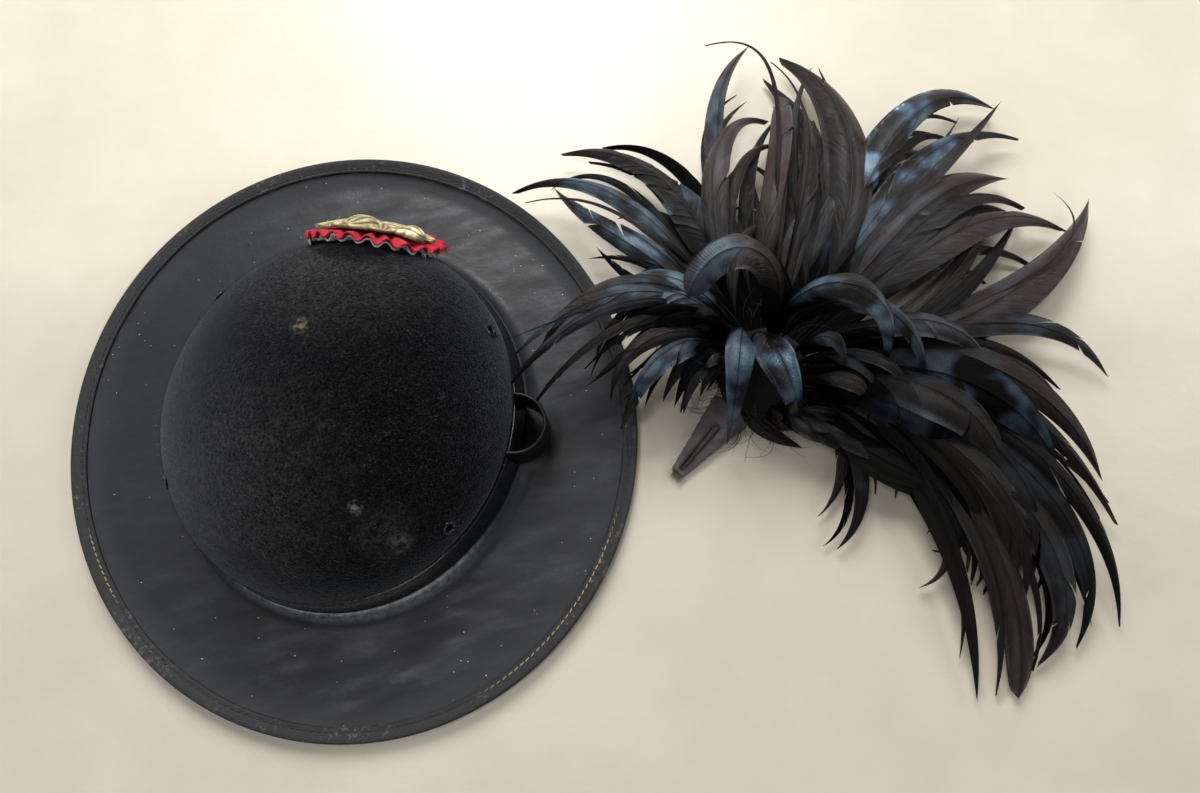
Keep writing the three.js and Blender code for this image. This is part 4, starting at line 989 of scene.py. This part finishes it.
def feather(row, source, ragged, tones):
    # Two vanes of barbs that slant forward from the shaft and part here and there, and the shaft itself
    at, blunt, blue = featherCourse(row), row[7], row[8]
    half = row[4] * plume["featherWidth"] / 2
    roll, twist, arch = source.uniform(-0.45, 0.45), source.uniform(-0.7, 0.7), plume["arch"] * source.uniform(0.6, 1.6)
    wide = [source.uniform(0.85, 1.1), source.uniform(0.85, 1.1)]
    tone = source.uniform(*tones)
    points, faces, uvs, blues, shades = [], [], [], [], []
    shaftTimes = np.linspace(0, 1, plume["steps"])
    acrossShares = np.linspace(0, 1, plume["across"])

    def surface(t, a, sign, lift):
        ahead, side, up = courseFrame(at, t)
        turned = roll + twist * (t - 0.4)
        c, s = np.cos(turned)[..., None], np.sin(turned)[..., None]
        side, up = side * c + up * s, up * c - side * s
        reach = a * featherOutline(t, blunt) * half * wide[sign > 0]
        bend = -arch * half * a ** 2 * (0.5 + 0.5 * np.sin(math.pi * np.clip(t * 1.1, 0, 1)))
        place = at(t) + side * (sign * reach)[..., None] + up * (bend + lift)[..., None]
        place[..., 2] = np.maximum(place[..., 2], 0.45)
        return place, up

    for sign in (-1, 1):
        splits = int(plume["splits"] * ragged * source.uniform(0, 1.6))
        cuts = sorted(source.sample(range(4, plume["steps"] - 3), min(splits, plume["steps"] - 8)))
        edges = [0] + cuts + [plume["steps"] - 1]
        for low, high in zip(edges[:-1], edges[1:]):
            roots, a = np.meshgrid(shaftTimes[low:high + 1], acrossShares, indexing="ij")
            t = np.clip(roots + plume["slant"] * a * (1 - roots) ** 0.6, 0, 1)
            centre = t[:, -1].mean()
            pull = plume["openings"] * source.uniform(0.2, 1.2) * a ** 2 * min(1, 3 / (high - low + 1) + 0.15)
            t = np.clip(t + (centre - t) * pull + source.uniform(-0.006, 0.006) * a, 0, 1)
            lift = source.uniform(-1, 1) * plume["ragged"] * half * a ** 2 * ragged * 2
            length = 1 + source.uniform(-plume["ragged"], plume["ragged"]) * ragged
            place, up = surface(t, a * length, sign, lift)
            sheet = (plume["sheet"] / 2 * (1 - a ** 3) + 0.02)[..., None]
            start = len(points)
            for offset in (1, -1):
                layer = place + up * sheet * offset
                layer[..., 2] = np.maximum(layer[..., 2], plume["lowest"] + 0.1 * (offset > 0))
                along = np.stack([roots * row[1] * plume["reach"] * 1.2, a * sign], -1)
                sheen = np.clip(1.3 - (2.9 + 1.8 * blunt) * np.abs(roots - 0.58 - 0.2 * blunt), 0, 1)
                points.extend(layer.reshape(-1, 3).tolist())
                uvs.extend(along.reshape(-1, 2).tolist())
                blues.extend((blue * sheen).ravel().tolist())
                shades.extend((tone * rootShade(roots)).ravel().tolist())
            faces += slabFaces(*roots.shape, start, start + roots.size, turned=sign < 0)
    ahead, side, up = courseFrame(at, shaftTimes)
    thick = plume["shaft"] * (0.35 + 0.65 * row[4]) * (1 - shaftTimes * 0.85)[:, None]
    middle = at(shaftTimes) + up * 0.15
    start, sides = len(points), plume["shaftSides"]
    for i, t in enumerate(shaftTimes):
        for angle in circle(sides):
            corner = middle[i] + (side[i] * math.cos(angle) + up[i] * math.sin(angle) * 0.8) * thick[i]
            corner[2] = max(corner[2], plume["lowest"])
            points.append(corner.tolist())
            uvs.append((t, 0))
            blues.append(-1.0)
            shades.append(tone * rootShade(t))
    faces += gridFaces(plume["steps"], sides, aroundColumns=True, start=start)
    faces += [tuple(range(start + sides - 1, start - 1, -1)), tuple(range(len(points) - sides, len(points)))]
    return points, faces, uvs, blues, shades


def underFeather(row, source, spread):
    # A smaller feather that fills in beneath one of the table's
    bearing, share, leaves, ends, width, crest, tip, _, blue = row
    return (bearing + source.uniform(-9, 9) * spread, share * (1 - source.uniform(0.03, 0.5) * spread),
            leaves + source.uniform(-14, 14) * spread, ends + source.uniform(-22, 22) * spread,
            max(0.18, width * source.uniform(0.4, 0.75)), crest * source.uniform(0.6, 0.95),
            max(0.05, tip * source.uniform(0.5, 0.9)), 0, blue * source.uniform(0, 0.2))


def featherMaterial(name, dark, middle, light, streak, gloss):
    vane = newMaterial(name, Specular_IOR_Level=gloss)
    uv = addNode(vane, "ShaderNodeUVMap", uv_map="along").outputs["UV"]
    split = addNode(vane, "ShaderNodeSeparateXYZ", {"Vector": uv})
    blueMark, toneAndShadeMark = markOf(vane, "blue"), markOf(vane, "tone")
    stretched = addNode(vane, "ShaderNodeMapping", {"Vector": uv}, Scale=(1.1, 0.5, 1)).outputs["Vector"]
    grain = addNode(vane, "ShaderNodeTexNoise", {"Vector": stretched}, Scale=1.0, Detail=3, Roughness=0.6)
    streaks = grain.outputs["Fac"]
    barbs = mathOf(vane, "SINE", plus(vane, times(vane, split.outputs["X"], 7.0), times(vane, streaks, 9)))
    # The tone mark is each feather's tone darkened by the painted root shade; colour and streaks follow it
    base = rampOf(vane, toneAndShadeMark, [(0.0, dark), (0.6, middle), (1.0, light)])
    streaky = times(vane, spanOf(vane, streaks, 0.5, 0.75, 0, 0.7), spanOf(vane, toneAndShadeMark, 0.1, 0.8))
    base = mixOf(vane, streaky, base, streak)
    where = objectCoords(vane, centre=plumeKnot)
    patches = noiseOf(vane, where, 19, 1)
    mottle = noiseOf(vane, where, 1.1, 3, 0.6)
    hue = rampOf(vane, patches, [
        (0.36, (0.03, 0.045, 0.08)), (0.5, (0.14, 0.22, 0.37)), (0.62, (0.24, 0.36, 0.44)), (0.78, (0.18, 0.16, 0.26))])
    sheen = times(vane, blueMark, spanOf(vane, patches, 0.44, 0.58, 0.04, 1.0))
    sheen = times(vane, sheen, spanOf(vane, mottle, 0.35, 0.65, 0.6, 1.0))
    sheen = mathOf(vane, "MINIMUM", larger(vane, sheen, 0.0), 0.85)
    isShaft = mathOf(vane, "LESS_THAN", blueMark, -0.5)
    wire(vane, mixOf(vane, isShaft, mixOf(vane, sheen, base, hue), (0.003, 0.0025, 0.0025)), "Base Color")
    wire(vane, sheen, "Metallic")
    matt = spanOf(vane, toneAndShadeMark, 0.0, 0.5, 0.4, 0.0)
    wire(vane, plus(vane, spanOf(vane, streaks, 0.25, 0.75, 0.24, 0.44), matt), "Roughness")
    wire(vane, bumpOf(vane, barbs, 0.1, 0.6, bumpOf(vane, streaks, 0.35, 0.7)), "Normal")
    return vane


# Brown and blue feathers, and their darker, duller copies for faces in painted shade deep in the plume: their
# dark, middle and light tone, their streaks' colour and their gloss
vanes = [featherMaterial(*looks) for looks in (
    ("brownFeather", (0.0006, 0.0005, 0.0005), (0.0055, 0.0038, 0.0034), (0.042, 0.0285, 0.0255),
     (0.052, 0.034, 0.03), 0.3),
    ("blueFeather", (0.0007, 0.0008, 0.001), (0.003, 0.003, 0.0038), (0.012, 0.0105, 0.0115), (0.02, 0.018, 0.02), 0.4),
    ("halfShadedFeather", (0.0005, 0.0005, 0.0005), (0.004, 0.003, 0.0028), (0.02, 0.015, 0.014), (0.03, 0.02, 0.018), 0.17),
    ("deepShadedFeather", (0.0003, 0.0003, 0.0003), (0.002, 0.0016, 0.0016), (0.01, 0.008, 0.008), (0.012, 0.009, 0.008), 0.05),
)]
brown, blued, halfShaded, deep = range(4)


def featherPiece(name, rows, under, ragged, spread, tones, shadedUnderTones):
    source = random.Random(plume["seed"] + len(rows))
    points, faces, uvs, blues, shades, kinds = [], [], [], [], [], []
    for row in rows:
        wanted = [row] + [underFeather(row, source, spread) for _ in range(under if row[4] > 0.27 else 0)]
        for each in wanted:
            part = feather(each, source, ragged, tones if each is row else shadedUnderTones)
            base, usual = len(points), blued if each[8] > plume["blueFrom"] and not each[7] else brown
            faces += [tuple(base + k for k in face) for face in part[1]]
            for whole, piece in zip((points, uvs, blues, shades), (part[0], *part[2:])):
                whole += piece
            for face in part[1]:
                shade = part[4][face[0]]
                # Painted shade: faces left dark by their tone and the root shade take the darker, duller copies
                kinds.append(deep if shade < plume["deepShadeTone"] else halfShaded if shade < plume["halfShadeTone"] else usual)
    mesh = meshFrom(name, points, faces, uvs, {"blue": blues, "tone": shades})
    newPiece(name, mesh, materials=vanes)
    mesh.polygons.foreach_set("material_index", kinds)
    print(name, len(mesh.polygons) * 2)


# Under feathers take darker tones: painted shade beneath the feathers over them
featherPiece("plume_upright", upright, 4, 0.8, 0.9, (0.6, 1), (0.3, 0.9))
featherPiece("plume_over_brim", overBrim, 3, 1.8, 1, (0.2, 0.85), (0, 0.4))
featherPiece("plume_outward", outward, 3, 1.5, 0.8, (0.4, 0.95), (0.2, 0.7))
featherPiece("plume_tail", tail, 4, 0.9, 0.55, (0.1, 0.75), (0, 0.45))
featherPiece("plume_curling", curling, 0, 0.4, 0.8, (0.25, 0.85), (0, 0.2))

# Knot: the bound roots, hidden under the feathers, and the curly down round it
knot = {"radius": 25, "height": 33, "foot": 0.28, "dome": 0.68, "footTurn": 0.5498, "around": 72, "floor": 0.4}
knotCloth = newMaterial("knotDown", Base_Color=(0.006, 0.0055, 0.006, 1), Roughness=1.0, Specular_IOR_Level=0.2)
wire(knotCloth, bumpOf(knotCloth, noiseOf(knotCloth, objectCoords(knotCloth), 2.5, 6, 0.7), 1.2, 0.9), "Normal")
angles = circle(knot["around"])
rows = []
for turn in np.linspace(-0.35, 1, 24)[:-1] * math.pi / 2:
    reach = knot["radius"] * math.cos(turn) * (1 + 0.05 * ripple(angles, 31, (3, 5, 8)))
    rise = knot["foot"] + knot["dome"] * math.sin(turn) if turn > 0 else knot["foot"] * (1 + turn / knot["footTurn"])
    rows.append(onRay(angles, reach, max(knot["height"] * rise, knot["floor"]) + 0 * angles))
ends = [[0, 0, knot["height"] * (knot["foot"] + knot["dome"])], [0, 0, knot["floor"]]]
knotPoints = np.concatenate([np.stack(rows).reshape(-1, 3), ends]) + plumeKnot
faces = gridFaces(len(rows), knot["around"], aroundColumns=True)
last, middle = (len(rows) - 1) * knot["around"], len(rows) * knot["around"]
for k in range(knot["around"]):
    n = (k + 1) % knot["around"]
    faces += [(last + k, last + n, middle), (n, k, middle + 1)]
newPiece("plume_knot", outwards(meshFrom("plumeKnot", knotPoints, faces)), ["plume"], [knotCloth])
down = newMaterial("down", Base_Color=(0.01, 0.0085, 0.0085, 1), Roughness=0.7)
lowDown = {"share": smoothstep(26, 6, knotPoints[:, 2])}
for name, length, bend, seed in (("plume_down_long", 0.03, 0.8, 5), ("plume_down_short", 0.016, 1.2, 6)):
    curls = {"Density": 45000.0, "Length": length, "Width": 0.00024, "Bend": bend, "Lean": 0.7, "Steps": 9, "Seed": seed}
    runTree(name, meshFrom("downCarrier", knotPoints, faces, marks=lowDown), strands, curls, down)
print("plume")

# Stem: a flat wedge wrapped in cloth, frayed at its tip
stem = {
    "heading": 229, "start": 24, "length": 46, "tipWidth": 8, "rootWidth": 24, "tipThickness": 5, "rootThickness": 9,
    "around": 40, "rings": 40, "turns": 9, "wrap": 0.22, "square": 0.75,
}
cloth = newMaterial("stemCloth", Roughness=0.92, Sheen_Weight=0.1)
where = objectCoords(cloth, centre=plumeKnot, turn=math.radians(stem["heading"]))
weave = addNode(cloth, "ShaderNodeTexWave", {"Vector": where}, Scale=420, Distortion=1.2, Detail=2).outputs["Fac"]
stained = noiseOf(cloth, where, 8, 5, 0.65)
tint = rampOf(cloth, stained, [(0.3, (0.045, 0.039, 0.043)), (0.55, (0.085, 0.076, 0.08)), (0.75, (0.14, 0.13, 0.125))])
wire(cloth, tint, "Base Color")
wire(cloth, bumpOf(cloth, weave, 0.18, 0.5, bumpOf(cloth, stained, 0.8, 0.6)), "Normal")
along = heading(stem["heading"])
acrossStem = np.array([-along[1], along[0]])


def stemPoint(distance, sideways, height):
    flat = along * (stem["start"] + distance) + acrossStem * sideways
    return np.array([flat[0], flat[1], height]) + plumeKnot


def stemThickness(share):
    return stem["rootThickness"] + (stem["tipThickness"] - stem["rootThickness"]) * share


rings = []
for t in np.linspace(0, 1, stem["rings"]):
    width = (stem["rootWidth"] + (stem["tipWidth"] - stem["rootWidth"]) * t) / 2
    tall = stemThickness(t)
    ring = []
    for k, a in enumerate(circle(stem["around"])):
        wrap = stem["wrap"] * math.sin(2 * math.pi * (t * stem["turns"] + k / stem["around"])) ** 3
        x = (width + wrap) * np.sign(math.cos(a)) * abs(math.cos(a)) ** stem["square"]
        z = tall / 2 + (tall / 2 + wrap) * np.sign(math.sin(a)) * abs(math.sin(a)) ** stem["square"]
        ring.append(stemPoint(t * stem["length"], x, max(z, 0.05)))
    rings.append(ring)
stemMesh = outwards(meshFrom("stemSkin", np.array(rings).reshape(-1, 3), tubeFaces(stem["rings"], stem["around"])))
newPiece("stem_wrap", stemMesh, ["plume_stem"], [cloth])
frayed = newMaterial("frayed", Base_Color=(0.16, 0.14, 0.11, 1), Roughness=0.95)
tipRing = [stemPoint(stem["length"] + 0.1, x, z) for x, z in ((-3, 1), (3, 1), (3, 4), (-3, 4))]
carrier = meshFrom("frayCarrier", tipRing, [(0, 1, 2, 3)], marks={"share": [1, 1, 1, 1]})
ends = {"Density": 6.0e6, "Length": 0.0055, "Width": 0.00013, "Bend": 0.5, "Lean": 0.8, "Steps": 5, "Seed": 4}
runTree("stem_fray", carrier, strands, ends, frayed)

# Hairpin: one wire, out along the stem, round its bend and back
pin = {"wire": 0.65, "width": 4.6, "length": 29, "end": 44, "legRings": 24, "bendRings": 14, "around": 12,
       "crimp": 0.15, "crimpLength": 5}
steel = newMaterial("pinWire", Metallic=0.9, Roughness=0.38)
rust = spanOf(steel, noiseOf(steel, objectCoords(steel), 2.5, 5, 0.7), 0.55, 0.7, 0, 0.6)
wire(steel, mixOf(steel, rust, (0.05, 0.045, 0.045), (0.1, 0.05, 0.032)), "Base Color")
halfPin, bendAt = (pin["width"] - 2 * pin["wire"]) / 2, pin["end"] - pin["length"]
leg = [(pin["end"] - pin["length"] * t, halfPin * (0.55 + 0.45 * t)) for t in np.linspace(0, 1, pin["legRings"])]
bend = np.linspace(0, math.pi, pin["bendRings"])[1:-1]
stations = leg + [(bendAt - halfPin * math.sin(a), halfPin * math.cos(a)) for a in bend]
stations += [(distance, -sideways) for distance, sideways in leg[::-1]]
path = []
for distance, sideways in stations:
    crimp = pin["crimp"] * math.sin(distance * 2 * math.pi / pin["crimpLength"]) * (abs(sideways) > 0.2)
    height = stemThickness(distance / stem["length"]) + clearance + pin["wire"]
    path.append(stemPoint(distance, sideways + crimp * np.sign(sideways), height))
path = np.array(path)
ahead = np.gradient(path, axis=0)
ahead /= np.linalg.norm(ahead, axis=1, keepdims=True)
sides = np.cross([0, 0, 1], ahead)
ups = np.cross(ahead, sides)
rings = [[p + (s * math.cos(a) + u * math.sin(a)) * pin["wire"] for a in circle(pin["around"])]
         for p, s, u in zip(path, sides, ups)]
pinMesh = outwards(meshFrom("pinSkin", np.array(rings).reshape(-1, 3), tubeFaces(len(rings), pin["around"])))
newPiece("hairpin_wire", pinMesh, ["hairpin"], [steel])
print("stem and hairpin")

# Dust on the brim
dust = newMaterial("dust", Base_Color=(0.55, 0.53, 0.5, 1), Roughness=1.0)
angles = circle(120)
rows = [brimPoint(angles, s, brim["thickness"] + 0.05) for s in np.linspace(0.1, 0.92, 16)]
dusting = meshFrom("dustCarrier", placeHat(np.stack(rows).reshape(-1, 3)), gridFaces(16, 120, aroundColumns=True))
runTree("brim_dust", dusting, speckTree("specks"), {"Density": 3000.0, "Size": 0.0007, "Seed": 8}, dust)

# Floor, a little darker towards the camera in a painted shadow, lights and camera
floor = {"half": 4, "shadowFrom": 75, "shadowTo": 5, "shadowStrength": 0.15}
ground = newMaterial("ground", Roughness=0.38, Specular_IOR_Level=0.4)
where = objectCoords(ground)
paint = rampOf(ground, noiseOf(ground, where, 90, 6, 0.6), [(0.3, (0.55, 0.51, 0.42)), (0.7, (0.62, 0.58, 0.49))])
split = addNode(ground, "ShaderNodeSeparateXYZ", {"Vector": where})
# Painted shadow: the floor darkens towards the camera
paintedFloorShadow = spanOf(ground, split.outputs["Y"], floor["shadowFrom"] * mm, floor["shadowTo"] * mm, 0, floor["shadowStrength"])
wire(ground, mixOf(ground, paintedFloorShadow, paint, (0.0, 0.0, 0.0)), "Base Color")
uneven = bumpOf(ground, noiseOf(ground, where, 40, 3), 1.0, 0.5)
wire(ground, bumpOf(ground, noiseOf(ground, where, 2.4, 4, 0.6), 0.12, 0.6, uneven), "Normal")
floorMesh = bpy.data.meshes.new("floor")
floorCorners = [(x * floor["half"], y * floor["half"], 0) for x, y in ((-1, -1), (1, -1), (1, 1), (-1, 1))]
floorMesh.from_pydata(floorCorners, [], [(0, 1, 2, 3)])
floorMesh.materials.append(ground)
addObject("floor", floorMesh)

# Each light's place in metres, width and power
lights = {
    "northLight": ((-0.15, 1.05, 1.1), 0.8, 30), "eastLight": ((1.9, 0.6, 1.25), 1.0, 22),
    "westLight": ((-1.9, 0.1, 1.2), 1.0, 9), "southLight": ((0.5, -1.8, 1.25), 0.9, 6),
    "brimLight": ((-0.36, -0.2, 1.5), 0.3, 5),
}
for name, (place, width, power) in lights.items():
    light = bpy.data.lights.new(name, "AREA")
    light.size, light.energy, light.color = width, power, (1.0, 0.98, 0.95)
    lamp = addObject(name, light)
    lamp.location = place
    lamp.rotation_euler = (-Vector(place)).to_track_quat("-Z", "Y").to_euler()
world = bpy.data.worlds.new("studio")
world.use_nodes = True
sky = world.node_tree.nodes["Background"].inputs
sky["Color"].default_value, sky["Strength"].default_value = (0.95, 0.96, 1.0, 1), 0.09
scene.world = world
scene.view_settings.view_transform = "Standard"

view = {"right": 153.0, "back": -109.0, "height": 442.5, "tilt": 15.6, "lean": 2.4, "focal": 832, "width": 1200,
        "sensor": 36}
tilt, lean = math.radians(view["tilt"]), math.radians(view["lean"])
forward = Vector((0, math.sin(tilt), -math.cos(tilt)))
right = Vector((1, 0, 0))
turnLean = Matrix(((math.cos(lean), 0, math.sin(lean)), (0, 1, 0), (-math.sin(lean), 0, math.cos(lean))))
cameraData = bpy.data.cameras.new("camera")
cameraData.sensor_width = view["sensor"]
cameraData.lens = view["sensor"] * view["focal"] / view["width"]
camera = addObject("camera", cameraData)
placed = Matrix([turnLean @ v for v in (right, right.cross(forward), -forward)]).transposed().to_4x4()
placed.translation = Vector((hatMiddle[0] + view["right"], hatMiddle[1] + view["back"], view["height"])) * mm
camera.matrix_world = placed
scene.camera = camera
print("stage")
